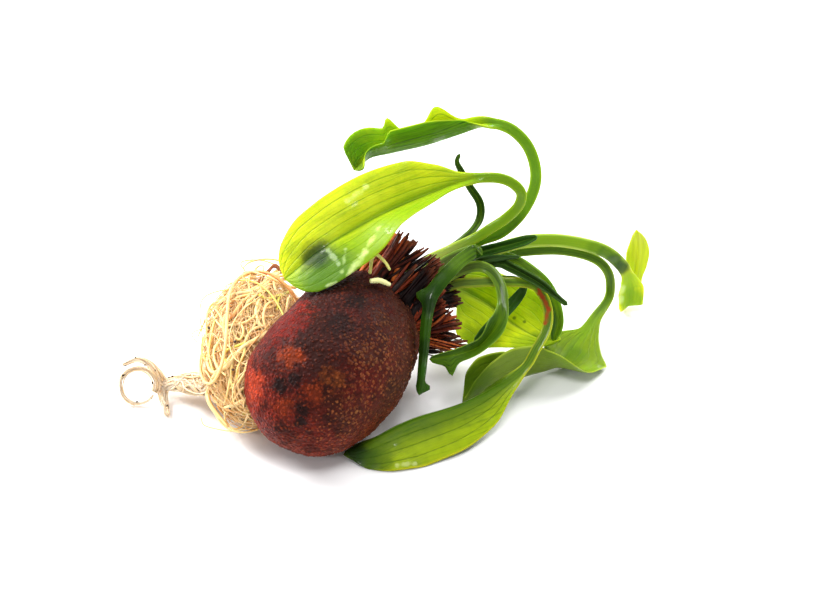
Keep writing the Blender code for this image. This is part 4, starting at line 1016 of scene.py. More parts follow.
def spot(tree, centre, size, ragged, grain):
    """1 at a place on the piece, falling to 0 at size, both in millimetres, with a ragged edge."""
    place = object_place(tree)
    away = vectors("DISTANCE", place, tuple(in_metres(centre)), "Value")
    rough = (noise(place, grain, 4.0, 0.65) - 0.5) * (ragged * 2)
    return rise(away / (size * MM) + rough, 0.35, 1.0, 1.0, 0.0)


def streak(tree, start, end, size):
    """1 on the line between two places on the piece, falling to 0 at size beside it, with a ragged edge."""
    place = object_place(tree)
    first, last = in_metres(start), in_metres(end)
    from_first = vectors("SUBTRACT", place, tuple(first))
    way = (last - first) / np.sum((last - first) ** 2)
    share = rise(vectors("DOT_PRODUCT", from_first, tuple(way), "Value"), 0.0, 1.0)
    along = vectors("SCALE", tuple(last - first), share)
    away = vectors("DISTANCE", from_first, along, "Value")
    rough = (noise(place, 1200.0, 3.0, 0.65) - 0.5) * 1.6
    return rise(away / (size * MM) + rough, 0.2, 1.0, 1.0, 0.0)


def camera_axes():
    """The directions in which the camera looks and in which the top of its picture is."""
    tilt = math.radians(CAMERA_ELEVATION)
    return np.array([0.0, math.cos(tilt), -math.sin(tilt)]), np.array([0.0, math.sin(tilt), math.cos(tilt)])


def sight(pixel):
    """Where the camera is and the direction in which it sees a pixel of the photograph."""
    forward, upward = camera_axes()
    focal = CAMERA_LENS / SENSOR_WIDTH * PHOTO_WIDTH
    right = (pixel[0] - PHOTO_WIDTH / 2) / focal
    up = (PHOTO_HEIGHT / 2 - pixel[1]) / focal
    return CAMERA_AIM - forward * CAMERA_DISTANCE, forward + right * np.array([1.0, 0.0, 0.0]) + up * upward


def at_height(pixel, height):
    """The point that the camera sees at a pixel, at a height over the table."""
    eye, ray = sight(pixel)
    return eye + ray * (height - eye[2]) / ray[2]


def on_leaf(leaf, pixel):
    """The point of a leaf that the camera sees at a pixel: of its points near that ray the nearest one."""
    eye, ray = sight(pixel)
    points = leaf_rings(leaf)[0].reshape(-1, 3)
    beside = np.linalg.norm(np.cross(points - eye, unit(ray)), axis=1)
    ahead = (points - eye) @ unit(ray)
    return points[np.argmin(np.where(beside < beside.min() + NEAR_RAY, ahead, np.inf))]


def first_meeting(start, way, radius):
    """The lower s at which start + s way is a radius from nothing, a root of a quadratic. Where the line
    misses, it is the s at which the line comes nearest."""
    a, b, c = way @ way, 2 * start @ way, start @ start - radius**2
    return (-b - math.sqrt(max(b * b - 4 * a * c, 0.0))) / (2 * a)


def on_tuber(pixel):
    """The point that the camera sees at a pixel on the tuber, taken as an even egg without its taper."""
    eye, ray = sight(pixel)
    axes = np.array(frame_on(TUBER_AXIS)).T
    half = np.array([TUBER_LENGTH / 2, TUBER_RADIUS, TUBER_RADIUS])
    return eye + ray * first_meeting((eye - TUBER_CENTRE) @ axes / half, ray @ axes / half, 1.0)


def on_tangle(pixel, lift):
    """The point that the camera sees at a pixel on the near side of the root egg, scaled by lift, or on the
    table where that would be under it."""
    eye, ray = sight(pixel)
    point = eye + ray * first_meeting((eye - ROOT_MASS_CENTRE) / ROOT_MASS_HALF, ray / ROOT_MASS_HALF, lift)
    return at_height(pixel, FRONT_ROOT_LOWEST) if point[2] < FRONT_ROOT_LOWEST else point


def frame_on(direction):
    """An axis, a level direction square to it, and the direction square to both."""
    axis = unit(direction)
    level = unit(np.cross(axis, (0.0, 0.0, 1.0)))
    return axis, level, np.cross(level, axis)


def build_tuber():
    """The tuber's skin: rings round an egg. A ring's radius is R sqrt(1 - a2) (1 - taper a) for a from -1
    to 1 along the axis, with slow lumps, then grains, wrinkles and a crust stand off it along its normal."""
    axis, level, top = frame_on(TUBER_AXIS)
    polar = np.linspace(0.0, np.pi, TUBER_ROWS + 2)[1:-1, None]
    axial = -np.cos(polar)
    angle = -round_angles(TUBER_COLUMNS)[None, :]
    lumps = 1 + 0.012 * np.sin(3 * angle + 2 * axial) + 0.01 * np.sin(5 * axial + 2 * angle)
    radius = TUBER_RADIUS * np.sin(polar) * (1 - TUBER_TAPER * axial) * lumps
    round_it = level * np.cos(angle)[..., None] + top * np.sin(angle)[..., None]
    ring = TUBER_CENTRE + axis * (axial * TUBER_LENGTH / 2)[..., None] + round_it * radius[..., None]
    down_rows = np.gradient(ring, axis=0)
    wrapped = np.concatenate([ring[:, -1:], ring, ring[:, :1]], axis=1)
    outward = unit(np.cross(wrapped[:, 2:] - wrapped[:, :-2], down_rows))
    outward *= np.where(np.sum(outward * round_it, axis=-1, keepdims=True) < 0, -1.0, 1.0)

    from_axis = round_it * radius[..., None]
    place = together(from_axis @ level, from_axis @ top, axial * TUBER_LENGTH / 2 * GRAIN_SQUEEZE)
    warped = place + GRAIN_WARP * together(*(swell(place, 1.1, seed) for seed in (3, 4, 5)))
    grain = 1 - smooth(grains(warped, GRAIN_SIZE, 7), 0.15, 0.65)
    crust = smooth(outward[..., 0] + 0.25 * swell(place, 3.0, 9), 0.35, 0.85)
    wrinkle = 1 - np.abs(swell(place * np.array([1.0, 1.0, 0.28]), 0.9, 11))
    left = smooth(-outward[..., 0], 0.2, 0.9)
    relief = 0.22 * swell(place, 6.0, 1) + 0.10 * swell(place, 2.2, 2)
    relief += grain * (0.13 + 0.05 * crust - 0.05 * left)
    relief += 0.10 * left * wrinkle
    relief += crust * (0.16 * np.maximum(swell(place, 1.0, 13), 0) + 0.10 * swell(place, 0.5, 15))
    for pixel, deep, wide in TUBER_DENTS:
        away = np.linalg.norm(ring - on_tuber(pixel), axis=-1)
        relief -= deep * np.exp(-((away / wide) ** 2))
    points = ring + outward * relief[..., None]
    points[..., 2] = np.maximum(points[..., 2], CLEARANCE)
    ends = TUBER_CENTRE + np.array([[-1.0], [1.0]]) * axis * TUBER_LENGTH / 2
    mesh_points, faces = skins(points[None], ends[:1], ends[1:])
    add_piece(
        "tuber_skin", mesh_points, faces, tuber_material(), "tuber", "tuber_skin",
        crust=spread(crust[None], np.zeros(1), np.zeros(1)),
    )


def tuber_material():
    """Dark red and brown skin, closely set with rust and tan grains, with orange and black patches, with
    painted light on its left side and painted shade on its top, and patches of painted highlight and painted
    sheen.
    """
    material, tree, shader = new_material("tuber_skin")
    skin = {name: linear(paint) for name, paint in SKIN_PAINTS.items()}
    place = object_place(tree)
    crust = read(tree, "crust", "Fac")
    drift = vectors("SCALE", noise(place, 1300.0, 2.0, 0.5, "Color"), 0.0006)
    cells = node(tree, "ShaderNodeTexVoronoi", {"Vector": vectors("ADD", place, drift), "Scale": 1650.0})
    grain = rise(Wire(cells.outputs["Distance"]), 0.12, 0.62, 1.0, 0.0)
    tone = split(Wire(cells.outputs["Color"]))[0]
    broad = noise(place, 130.0, 4.0, 0.6)
    middle = noise(place, 420.0, 4.0, 0.65)
    fine = noise(place, 2400.0, 3.0, 0.65)
    to_right, _, upward = split(wire(tree, "ShaderNodeNewGeometry", {}, "Normal"))
    left = rise(to_right, -0.95, -0.25, 1.0, 0.0)
    low = rise(upward, -0.5, 0.1, 1.0, 0.0)
    right = rise(to_right - upward * 0.4, -0.2, 0.45)

    colour = mix(rise(broad, 0.36, 0.66), skin["red"], skin["brown"])
    # Painted light: the side facing left is lighter and redder. The underside is lighter too.
    colour = mix(left * 0.8, colour, skin["left"])
    colour = mix(low * 0.6, colour, skin["low"])
    colour = mix(rise(middle, 0.44, 0.7, 0.0, 0.75), colour, skin["cloud"])
    # Painted shade: the top, under the leaf over it, is darker.
    colour = mix(rise(upward, 0.25, 0.85, 0.0, 0.75), colour, skin["upper"])
    for pixel, size, paint, share in TUBER_PATCHES:
        colour = mix(spot(tree, on_tuber(pixel), size, 1.3, 800.0) * share, colour, linear(paint))
    colour = mix(rise(grain, 0.1, 0.45, 0.45, 0.0), colour, skin["between_grains"])
    sandy, other = (spot(tree, on_tuber(pixel), size, 0.5, 300.0) for pixel, size in SANDY_PATCHES)
    sandy = sandy.greater(other)
    red = mix(tone, skin["rust_dark"], skin["rust_light"])
    tan = mix(tone, skin["tan_dark"], skin["tan_light"])
    tops = rise(grain, 0.35, 0.9) * rise(tone, 0.0, 0.8, 0.1, 0.9) * rise(broad, 0.3, 0.6, 0.35, 1.0)
    # Fewer grain tops show on the top, as part of its painted shade.
    tops = tops * rise(upward, 0.3, 0.9, 1.0, 0.4) * rise(sandy, 0.0, 1.0, 0.58, 0.8)
    tops = tops.greater(sandy * rise(grain, 0.12, 0.5, 0.0, 0.32))
    colour = mix(tops, colour, mix(right.greater(sandy), red, tan))
    colour = mix(crust * 0.35, colour, skin["crust"])
    colour = mix(rise(fine, 0.4, 0.75, 0.0, 0.45), colour, skin["pit"])
    feed(shader, {
        "Base Color": colour,
        "Roughness": rise(middle, 0.3, 0.7, 0.4, 0.65),
        "Specular IOR Level": 0.08,
        "Normal": relief_normal(middle * 0.5 + fine * 0.6 + grain * 0.8, 0.00022, 0.9),
    })
    return material


# Broad pieces of old fibre: the pixels and heights of their foot and tip, their half width and their tone.
FIBRE_CHUNKS = [
    ((426, 300), 16.0, (468, 299), 14.0, 0.55, 0.10), ((424, 320), 14.0, (458, 317), 12.2, 0.60, 0.05),
    ((428, 308), 15.2, (463, 304), 13.4, 0.45, 0.30), ((432, 290), 16.8, (465, 284), 15.2, 0.55, 0.35),
    ((436, 280), 17.6, (468, 276), 16.4, 0.55, 0.10), ((422, 328), 13.2, (446, 326), 11.8, 0.45, 0.20),
    ((430, 304), 15.4, (454, 309), 13.6, 0.35, 0.60), ((434, 296), 16.4, (461, 291), 14.6, 0.45, 0.15),
    ((420, 336), 12.4, (440, 332), 11.2, 0.40, 0.50), ((436, 285), 17.0, (460, 281), 15.6, 0.40, 0.55),
    ((430, 312), 14.8, (450, 311), 13.0, 0.50, 0.12), ((434, 300), 15.8, (456, 297), 14.2, 0.50, 0.20),
]
CHUNK_STRANDS = 4

# The colours of the fibres, from the darkest to the lightest, and where each one stands between 0 and 1.
FIBRE_TONES = [
    (0.0, (12, 6, 6)), (0.34, (34, 12, 10)), (0.52, (92, 30, 14)), (0.78, (160, 62, 26)),
    (1.0, (204, 104, 46)),
]
FIBRE_PITS, FIBRE_ENDS = (22, 10, 9), (186, 92, 42)

# The tones of the collar's ring and of the heart of the root tangle.
RING_TONE, CORE_TONE = 0.05, 0.25

# The colours of roots, pale and deep, and how much light goes through them. The darkest tone is brown.
ROOT_PAINTS = {
    "root": ((247, 208, 146), (206, 148, 92), 0.4),
    "root_tail": ((254, 230, 192), (222, 178, 130), 0.5),
    "young_root": ((240, 236, 170), (190, 196, 62), 0.3),
}
GREEN_ROOT, BROWN_ROOT = (214, 212, 84), (128, 62, 34)
SOIL_PAINTS = ((28, 22, 18), (92, 70, 52))

# Flat spots of the tuber: the pixel of their middle, how deep and how wide they are in millimetres.
TUBER_DENTS = [((284, 304), 1.3, 5.5), ((262, 336), 0.5, 3.5), ((416, 372), 0.4, 4.0)]

# The skin's colours: left is painted light on the left side, upper painted shade on the top under the leaf,
# and low a lighter tone underneath.
SKIN_PAINTS = {
    "red": (112, 26, 14), "brown": (72, 28, 14), "left": (164, 40, 20), "low": (150, 54, 26),
    "cloud": (34, 14, 11), "upper": (44, 17, 13), "between_grains": (28, 10, 8), "crust": (84, 50, 34),
    "pit": (30, 12, 9), "rust_dark": (112, 40, 20), "rust_light": (150, 66, 32), "tan_dark": (132, 74, 36),
    "tan_light": (186, 124, 68),
}

# Where the grains of the skin are tan: the pixel of the middle and the size in millimetres.
SANDY_PATCHES = [((380, 358), 8.5), ((354, 414), 5.5)]

# Patches on the tuber's skin: the pixel of their middle, how wide in millimetres, their colour and strength.
# The bright red ones at (284, 322) and (297, 304) are painted highlights and the greyish purple ones painted
# sheen; the orange and black ones are the skin's own.
TUBER_PATCHES = [
    ((284, 322), 6.0, (132, 26, 16), 0.7), ((291, 357), 2.6, (176, 66, 22), 0.6),
    ((313, 393), 2.2, (164, 60, 22), 0.5), ((283, 405), 2.4, (164, 60, 22), 0.5),
    ((328, 375), 1.8, (140, 70, 26), 0.55), ((338, 383), 1.8, (140, 70, 26), 0.55),
    ((255, 385), 3.4, (196, 64, 30), 0.8), ((297, 304), 2.4, (150, 34, 22), 0.6),
    ((281, 388), 2.2, (14, 8, 8), 0.95), ((294, 381), 1.5, (16, 8, 8), 0.9),
    ((340, 323), 3.2, (20, 10, 10), 0.85), ((302, 409), 1.5, (18, 9, 8), 0.9),
    ((301, 422), 1.5, (18, 9, 8), 0.9), ((356, 299), 2.4, (16, 8, 8), 0.9),
    ((272, 318), 3.6, (104, 60, 58), 0.5), ((284, 300), 3.0, (104, 58, 58), 0.45),
    ((268, 428), 3.0, (100, 60, 62), 0.45),
]


def build_fibre_crown():
    """The old leaf bases: a ring whose section is the collar's profile, and flat fibres that stand on it.

    A fibre's path is start + length t (cos splay axis + sin splay outward + sin swing sideways) + bend t2
    outward. Fibres come in clumps that share a place, a lean, a length and a tone, and each one differs a
    little from its clump. The broad pieces are a few strands each, from a foot to a tip."""
    axis, level, top = frame_on(COLLAR_AXIS)
    rng = np.random.default_rng(SEEDS["fibres"])
    clump = rng.integers(0, CLUMP_COUNT, FIBRE_COUNT)

    def by_clump(values, own_spread):
        return values[clump] + rng.normal(0.0, own_spread, FIBRE_COUNT)

    def round_axis(angles):
        return level * np.cos(angles)[:, None] + top * np.sin(angles)[:, None]

    angle = by_clump(rng.uniform(0.0, WHOLE_TURN, CLUMP_COUNT), 0.06)
    start = np.clip(by_clump(rng.uniform(COLLAR_BACK, 0.4, CLUMP_COUNT), 0.4), COLLAR_BACK, 0.8)
    outward = round_axis(angle)
    round_way = np.cross(axis, outward)
    base_radius = np.interp(start, (COLLAR_BACK, -1.0, COLLAR_LIP), (7.1, 6.8, 5.0))
    base_radius = base_radius + rng.uniform(-0.4, 0.3, FIBRE_COUNT)
    splay = np.interp(start, (COLLAR_BACK, COLLAR_LIP), (26.0, 12.0))
    splay = np.radians(splay + by_clump(rng.normal(0.0, 13.0, CLUMP_COUNT), 2.5))
    swing = np.radians(by_clump(rng.normal(0.0, 19.0, CLUMP_COUNT), 3.0))
    length = by_clump(rng.uniform(3.4, 9.8, CLUMP_COUNT), 0.4) * np.interp(start, (-5.0, 0.4), (1.0, 0.5))
    bend = by_clump(rng.normal(0.0, 0.8, CLUMP_COUNT), 0.15)
    t = np.linspace(0.0, 1.0, 6)
    lean = axis * np.cos(splay)[:, None] + outward * np.sin(splay)[:, None]
    lean = lean + round_way * np.sin(swing)[:, None]
    roots = COLLAR_CENTRE + axis * start[:, None] + outward * base_radius[:, None]
    paths = roots[:, None] + lean[:, None] * (length[:, None] * t)[..., None]
    paths = paths + outward[:, None] * (bend[:, None] * t**2)[..., None]

    foot_at, foot_up, tip_at, tip_up, half_widths, tones = zip(*FIBRE_CHUNKS)
    feet = np.repeat([at_height(*foot) for foot in zip(foot_at, foot_up)], CHUNK_STRANDS, axis=0)
    tips = np.repeat([at_height(*tip) for tip in zip(tip_at, tip_up)], CHUNK_STRANDS, axis=0)
    feet = feet + rng.normal(0.0, 0.35, feet.shape)
    tips = feet + (tips - feet) * rng.uniform(0.75, 1.05, (len(tips), 1)) + rng.normal(0.0, 0.3, tips.shape)
    paths = np.concatenate([paths, feet[:, None] + (tips - feet)[:, None] * t[:, None]])
    paths[..., 2] = np.maximum(paths[..., 2], FIBRE_LOWEST)
    width = np.concatenate([rng.uniform(0.18, 0.62, FIBRE_COUNT), np.repeat(half_widths, CHUNK_STRANDS)])
    radii = width[:, None] * np.interp(t, (0.0, 0.3, 0.8, 1.0), (0.8, 1.0, 0.95, 0.5))
    rings = tubes(paths, radii, sides=5, flatness=FIBRE_FLATNESS)
    points, faces = skins(rings, paths[:, 0], paths[:, -1])
    tone = np.clip(by_clump(rng.uniform(0.0, 1.0, CLUMP_COUNT) ** 0.9, 0.22), 0.0, 1.0)
    tone = np.concatenate([tone, np.repeat(tones, CHUNK_STRANDS)])
    strands = strand_values(tone, t, np.zeros(len(tone)), rings)

    profile = np.array(COLLAR_PROFILE)[:, :, None, None]
    ring_out = round_axis(round_angles(COLLAR_COLUMNS))
    band = COLLAR_CENTRE + axis * profile[:, 1] + ring_out * (profile[:, 0] - COLLAR_INSET)
    i, j = np.meshgrid(np.arange(len(profile)), np.arange(COLLAR_COLUMNS), indexing="ij")
    here, there = i * COLLAR_COLUMNS, (i + 1) % len(profile) * COLLAR_COLUMNS
    k = (j + 1) % COLLAR_COLUMNS
    ring_faces = together(here + k, there + k, there + j, here + j).reshape(-1, 4) + len(points)
    band = band.reshape(-1, 3)
    ring_values = np.tile([RING_TONE, 0.0, 0.0], (len(band), 1))
    add_piece(
        "fibre_crown", np.vstack([points, band]), [*faces, ring_faces], fibre_material(),
        "fibre_collar", "old_fibre", strand=np.vstack([strands, ring_values]),
    )


def fibre_material():
    """Dry fibres from black through maroon to rust, with grain along each one."""
    material, tree, shader = new_material("old_fibre")
    tone, along, _ = split(read(tree, "strand"))
    grain = noise(object_place(tree), 1700.0, 3.0, 0.7)
    ramp = node(tree, "ShaderNodeValToRGB", {0: tone})
    for where, _ in FIBRE_TONES[1:-1]:
        ramp.color_ramp.elements.new(where)
    for stop, (_, paint) in zip(ramp.color_ramp.elements, FIBRE_TONES):
        stop.color = linear(paint)
    colour = mix(rise(grain, 0.4, 0.7, 0.0, 0.6), Wire(ramp.outputs[0]), linear(FIBRE_PITS))
    colour = mix(rise(along, 0.7, 1.0, 0.0, 0.2), colour, linear(FIBRE_ENDS))
    feed(shader, {
        "Base Color": colour,
        "Roughness": rise(grain, 0.3, 0.7, 0.4, 0.7),
        "Specular IOR Level": 0.15,
        "Normal": relief_normal(grain, 0.00012, 0.8),
    })
    return material


def root_material(name):
    """Moist pale strands whose tone changes from one to the next and along each one."""
    material, tree, shader = new_material(name)
    pale, deep, glow = ROOT_PAINTS[name]
    tone, _, green = split(read(tree, "strand"))
    place = object_place(tree)
    cloud = noise(place, 380.0, 3.0, 0.6)
    colour = mix(rise(tone + cloud * 0.6, 0.3, 1.3), linear(deep), linear(pale))
    colour = mix(green, colour, linear(GREEN_ROOT))
    colour = mix(rise(tone, 0.02, 0.05, 1.0, 0.0) * 0.85, colour, linear(BROWN_ROOT))
    feed(shader, {
        "Base Color": colour,
        "Roughness": rise(cloud, 0.3, 0.7, 0.3, 0.5),
        "Subsurface Weight": glow,
        "Subsurface Radius": (1.0, 0.75, 0.45),
        "Subsurface Scale": 0.0012,
        "Specular IOR Level": 0.2,
        "Normal": relief_normal(noise(place, 2600.0, 2.0, 0.6), 0.00006, 0.6),
    })
    return material


def wander(rng, count, step, spin):
    """Paths that wander over a unit ball: each step goes step along a heading that turns by a slow wave.

    They start on the side of the tuber and head away from it."""
    here = unit(rng.normal(size=(count, 3)) * 0.62 + np.array([0.5, 0.1, 0.45]))
    ahead = rng.normal(size=(count, 3)) * 0.8 + np.array([-1.0, -0.2, -0.1])
    ahead = unit(ahead - here * np.sum(here * ahead, axis=-1, keepdims=True))
    speed = rng.uniform(0.3, 1.5, (count, 1)) * spin
    step = step * rng.uniform(0.45, 1.15, (count, 1))
    phase = rng.uniform(0.0, WHOLE_TURN, (count, 1))
    trail = [here]
    for i in range(1, TANGLE_STATIONS):
        turn = speed * np.sin(phase + i * 0.11 * (1 + 0.4 * np.sin(phase)))
        ahead = unit(ahead + np.cross(here, ahead) * turn)
        here = unit(here + ahead * step)
        ahead = unit(ahead - here * np.sum(here * ahead, axis=-1, keepdims=True))
        trail.append(here)
    return np.stack(trail, axis=1)


def keep_clear(paths, radii):
    """Raises the points of paths that would sink into the table."""
    paths[..., 2] = np.maximum(paths[..., 2], radii + CLEARANCE)


def strand_values(tone, along, green, rings):
    """The tone, the place along and the greenness of each strand at each point of its rings."""
    parts = (np.asarray(tone)[:, None, None], along[None, :, None], np.asarray(green)[:, None, None])
    values = np.broadcast_to(together(*parts), (*rings.shape[:3], 3))
    return spread(values, values[:, 0, 0], values[:, -1, 0])


def add_strands(name, paths, radii, tone, green, material, stands_for=None, sides=6, slot="root"):
    """Round strands of any number of paths with the same number of stations, in one piece."""
    rings = tubes(paths, radii, sides)
    points, faces = skins(rings, paths[:, 0], paths[:, -1])
    values = strand_values(tone, np.linspace(0.0, 1.0, paths.shape[1]), green, rings)
    add_piece(name, points, faces, material, stands_for, slot, strand=values)


def build_root_tangle(material):
    """Hundreds of strands that wander over an egg at different depths, with the ones that show in front."""
    rng = np.random.default_rng(SEEDS["tangle"])
    column = (TANGLE_COUNT, 1)
    ball = wander(rng, TANGLE_COUNT, 0.082, 0.2)
    t = np.linspace(0.0, 1.0, TANGLE_STATIONS)
    stray = np.where(rng.uniform(size=column) > 0.9, 0.16, 0.0)
    layer = rng.uniform(0.80, 0.99, column) + stray
    beat = rng.uniform(3.0, 11.0, column)
    layer = layer + 0.06 * np.sin(t * beat + rng.uniform(0, 6, column))
    paths = ROOT_MASS_CENTRE + ball * ROOT_MASS_HALF * layer[..., None]
    thick = 0.07 + 0.26 * rng.uniform(0.0, 1.0, TANGLE_COUNT) ** 2.5
    radii = thick[:, None] * np.interp(t, (0.0, 0.1, 0.8, 1.0), (0.9, 1.0, 0.8, 0.3))
    keep_clear(paths, radii)
    tone = rng.uniform(0.1, 1.0, TANGLE_COUNT)
    green = np.where(rng.uniform(0.0, 1.0, TANGLE_COUNT) > 0.94, 0.6, 0.0)

    pixels, front_widths, front_tones, front_greens = zip(*FRONT_ROOTS)
    knots = [[on_tangle(pixel, FRONT_LIFT) for pixel in row] for row in pixels]
    front = np.stack([curve_through(row, TANGLE_STATIONS)[0] for row in knots])
    front_radii = np.array(front_widths)[:, None] * np.interp(t, (0.0, 0.1, 0.85, 1.0), (0.9, 1.0, 0.85, 0.5))
    keep_clear(front, np.array(front_widths)[:, None])
    add_strands(
        "root_tangle", np.concatenate([paths, front]), np.concatenate([radii, front_radii]),
        np.concatenate([tone, front_tones]), np.concatenate([green, front_greens]), material,
        "root_mass", sides=5,
    )

    column = (FUZZ_COUNT, 1)
    ball = wander(rng, FUZZ_COUNT, 0.05, 0.3)
    layer = rng.uniform(0.82, 1.06, column) + 0.06 * np.sin(t * beat[:1] + rng.uniform(0, 6, column))
    paths = ROOT_MASS_CENTRE + ball * ROOT_MASS_HALF * layer[..., None]
    radii = rng.uniform(0.035, 0.075, column) * np.interp(t, (0.0, 0.9, 1.0), (1.0, 0.9, 0.4))
    keep_clear(paths, radii)
    tone = rng.uniform(0.3, 1.0, FUZZ_COUNT)
    add_strands("root_hairs", paths, radii, tone, np.zeros(FUZZ_COUNT), material, sides=4)


def build_root_core(material):
    """The felted heart of the tangle: an egg with ridges, radius 1 + sum of slow sines of its two angles."""
    polar = np.linspace(0.0, np.pi, CORE_ROWS + 2)[1:-1, None]
    angle = round_angles(CORE_COLUMNS)[None, :]
    ridge = 1 + 0.05 * np.sin(7 * angle + 4 * np.cos(polar)) + 0.04 * np.sin(4 * angle - 6 * np.cos(polar))
    ball = together(np.sin(polar) * np.cos(angle), -np.cos(polar), np.sin(polar) * np.sin(angle))
    rings = ROOT_MASS_CENTRE + ball * ROOT_MASS_HALF * (CORE_SHARE * ridge)[..., None]
    rings += 0.25 * swell(rings, 0.7, 21)[..., None] * ball
    rings[..., 2] = np.maximum(rings[..., 2], CORE_LOWEST)
    ends = ROOT_MASS_CENTRE + np.array([[0.0, -1.0, 0.0], [0.0, 1.0, 0.0]]) * ROOT_MASS_HALF * CORE_SHARE
    points, faces = skins(rings[None], ends[:1], ends[1:])
    faces = [f[:, ::-1] for f in faces]
    values = np.tile([CORE_TONE, 0.5, 0.0], (len(points), 1))
    add_piece("root_core", points, faces, material, None, "root", strand=values)


def bundle(rng, route, widths, count, radius):
    """Strands that run beside each other along a route. Each keeps its share of the bundle's width, at an
    angle that turns slowly, so that they cross."""
    middle = curve_through(route, TAIL_STATIONS)[0]
    along = unit(np.gradient(middle, axis=0))
    side = unit(np.cross(along, (0.0, 0.0, 1.0)))
    up = np.cross(side, along)
    t = np.linspace(0.0, 1.0, TAIL_STATIONS)
    wide = np.interp(t, np.linspace(0, 1, len(widths)), widths)
    share = np.sqrt(rng.uniform(0.0, 1.0, (count, 1)))
    angle = rng.uniform(0, WHOLE_TURN, (count, 1)) + t * rng.uniform(-3.0, 3.0, (count, 1))
    angle = angle + 0.5 * np.sin(t * rng.uniform(4.0, 14.0, (count, 1)))
    offset = wide * share
    beside, above = offset * np.cos(angle), offset * np.sin(angle) * BUNDLE_FLATNESS
    paths = middle + beside[..., None] * side + above[..., None] * up
    radii = radius * rng.uniform(0.6, 1.3, (count, 1)) * np.interp(t, (0.0, 0.8, 1.0), (1.0, 0.9, 0.4))
    keep_clear(paths, radii)
    return paths, radii


def build_root_tail(material):
    """The bundle that runs out to the left, parted into two branches and a ring of thin strands."""
    rng = np.random.default_rng(SEEDS["tail"])
    angles = np.radians(np.linspace(-20.0, 330.0, 16))[:, None]
    ring = RING_CENTRE + RING_RADIUS * (np.cos(angles) * np.array([1.0, 0, 0]) + np.sin(angles) * RING_UP)
    wide = ring + (ring - RING_CENTRE) * 0.16
    groups = [
        (ROOT_UPPER, (2.8, 2.1, 1.6, 1.0, 0.7, 0.6, 0.4), 26, 0.12),
        (ROOT_LOWER, (2.8, 2.1, 1.6, 1.0, 0.6, 0.5), 20, 0.12),
        (ring.tolist(), (2.6, 1.5, 0.5, 0.45, 0.45, 0.4, 0.3), 12, 0.08),
        (wide[:13].tolist(), (2.6, 1.4, 0.45, 0.4, 0.4, 0.4), 6, 0.07),
        ([], (3.0, 2.6, 1.9, 1.1), 130, 0.15),
    ]
    made = [bundle(rng, ROOT_NECK + route, *rest) for route, *rest in groups]
    paths, radii = (np.concatenate(parts) for parts in zip(*made))
    tone = rng.uniform(0.2, 1.0, len(paths))
    add_strands("root_tail_strands", paths, radii, tone, np.zeros(len(paths)), material, "root_tail")
    return paths


def build_soil_specks(tail_paths):
    """Grains of soil that cling to the strands: short fat closed lumps."""
    rng = np.random.default_rng(SEEDS["soil"])
    flat = tail_paths.reshape(-1, 3)
    spots = []
    for pixel in SOIL_PIXELS:
        eye, ray = sight(pixel)
        spots.append(flat[np.argmin(np.linalg.norm(np.cross(flat - eye, unit(ray)), axis=1))])
    spots += [on_tangle(pixel, SOIL_LIFT) for pixel in SOIL_ON_TANGLE]
    spots = np.array(spots) + np.array([0.0, -0.1, 0.15])
    count = len(spots)
    t = np.linspace(-1.0, 1.0, 5)
    size = rng.uniform(0.12, 0.26, count)
    way = unit(rng.normal(size=(count, 3)))
    paths = spots[:, None] + way[:, None] * (size[:, None] * t * 1.2)[..., None]
    radii = size[:, None] * np.array([0.5, 0.9, 1.0, 0.8, 0.45]) * rng.uniform(0.7, 1.2, (count, 5))
    material, tree, shader = new_material("soil")
    grit = noise(object_place(tree), 5000.0, 2.0)
    feed(shader, {"Base Color": mix(grit, *map(linear, SOIL_PAINTS)), "Roughness": 0.8})
    add_strands("soil_specks", paths, radii, np.zeros(count), np.zeros(count), material)


def build_young_roots():
    """A fat root that lies on the shoulder and a thin one that stands up in a loop."""
    material = root_material("young_root")
    t = np.linspace(0, 1, YOUNG_STATIONS)
    for name, stands_for, route, widths, green in YOUNG_ROOTS:
        path = curve_through(route, YOUNG_STATIONS)[0]
        radii = np.interp(t, np.linspace(0, 1, len(widths)), widths) * (1 + 0.05 * np.sin(t * 37))
        radii[[0, -1]] *= 0.6
        add_strands(
            name, path[None], radii[None], [0.9], [green], material, stands_for, sides=14, slot="young_root",
        )


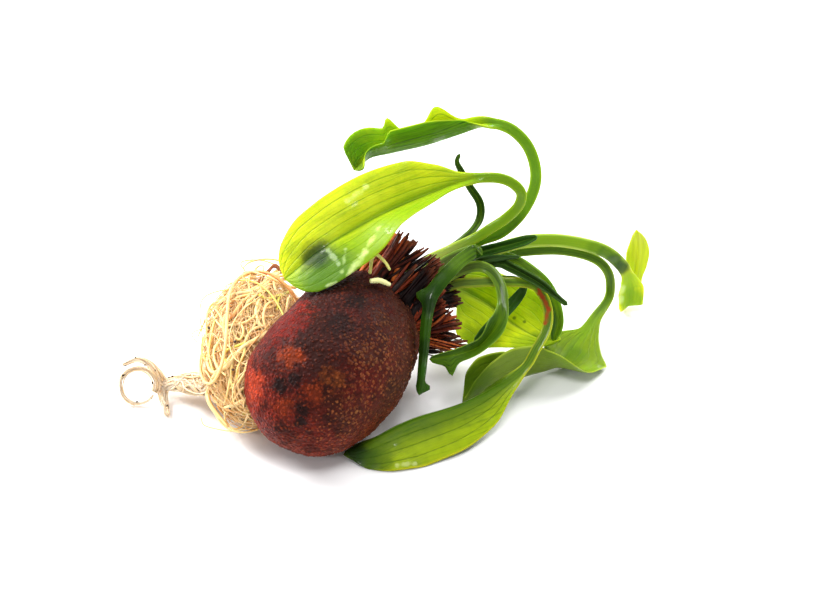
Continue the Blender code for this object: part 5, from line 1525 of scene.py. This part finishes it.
def build_camera():
    forward, _ = camera_axes()
    data = bpy.data.cameras.new("camera")
    data.lens = CAMERA_LENS
    data.sensor_width = SENSOR_WIDTH
    data.clip_start = 0.01
    camera = put_in_scene("camera", data)
    camera.location = (CAMERA_AIM + SHIFT - forward * CAMERA_DISTANCE) * MM
    camera.rotation_euler = Vector(forward).to_track_quat("-Z", "Y").to_euler()
    bpy.context.scene.camera = camera


# The soft round lights, in metres and watts: their name, place, width and power.
LIGHTS = [
    ("top", (0.03, -0.16, 0.5), 0.16, 1.1), ("left", (-0.42, 0.26, 0.36), 0.34, 7.0),
    ("right", (0.40, 0.34, 0.40), 0.34, 4.2), ("spark", (-0.30, -0.36, 0.34), 0.07, 0.5),
]
LIGHT_AIM = (0.0, 0.0, 0.01)
ROOM_LIGHT = 0.44
TABLE_RADIUS = 1.6
TABLE_PAINTS = ((244, 244, 246), (248, 248, 248))


def build_studio():
    """A white round table that runs out of view, a pale room and soft lights."""
    mesh = bpy.data.meshes.new("table")
    rim = [(TABLE_RADIUS * math.cos(a), TABLE_RADIUS * math.sin(a), 0.0) for a in round_angles(96)]
    mesh.from_pydata(rim, [], [tuple(range(len(rim)))])
    material, tree, shader = new_material("table")
    paint = mix(noise(object_place(tree), 3.0, 2.0), *map(linear, TABLE_PAINTS))
    feed(shader, {"Base Color": paint, "Roughness": 0.35})
    mesh.materials.append(material)
    put_in_scene("table", mesh)

    world = bpy.data.worlds.new("room")
    bpy.context.scene.world = world
    world.use_nodes = True
    feed(world.node_tree.nodes["Background"], {"Color": (1.0, 1.0, 1.0, 1.0), "Strength": ROOM_LIGHT})
    for name, place, size, power in LIGHTS:
        data = bpy.data.lights.new(name, "AREA")
        data.shape = "DISK"
        data.size = size
        data.energy = power
        light = put_in_scene(name, data)
        light.location = place
        light.rotation_euler = (Vector(LIGHT_AIM) - Vector(place)).to_track_quat("-Z", "Y").to_euler()
    bpy.context.scene.view_settings.view_transform = "Standard"


def main():
    leaf_group()
    for name, leaf in LEAVES.items():
        build_leaf(name, leaf)
    build_tuber()
    build_fibre_crown()
    roots = root_material("root")
    build_root_core(roots)
    build_root_tangle(roots)
    build_soil_specks(build_root_tail(root_material("root_tail")))
    build_young_roots()
    build_camera()
    build_studio()


main()
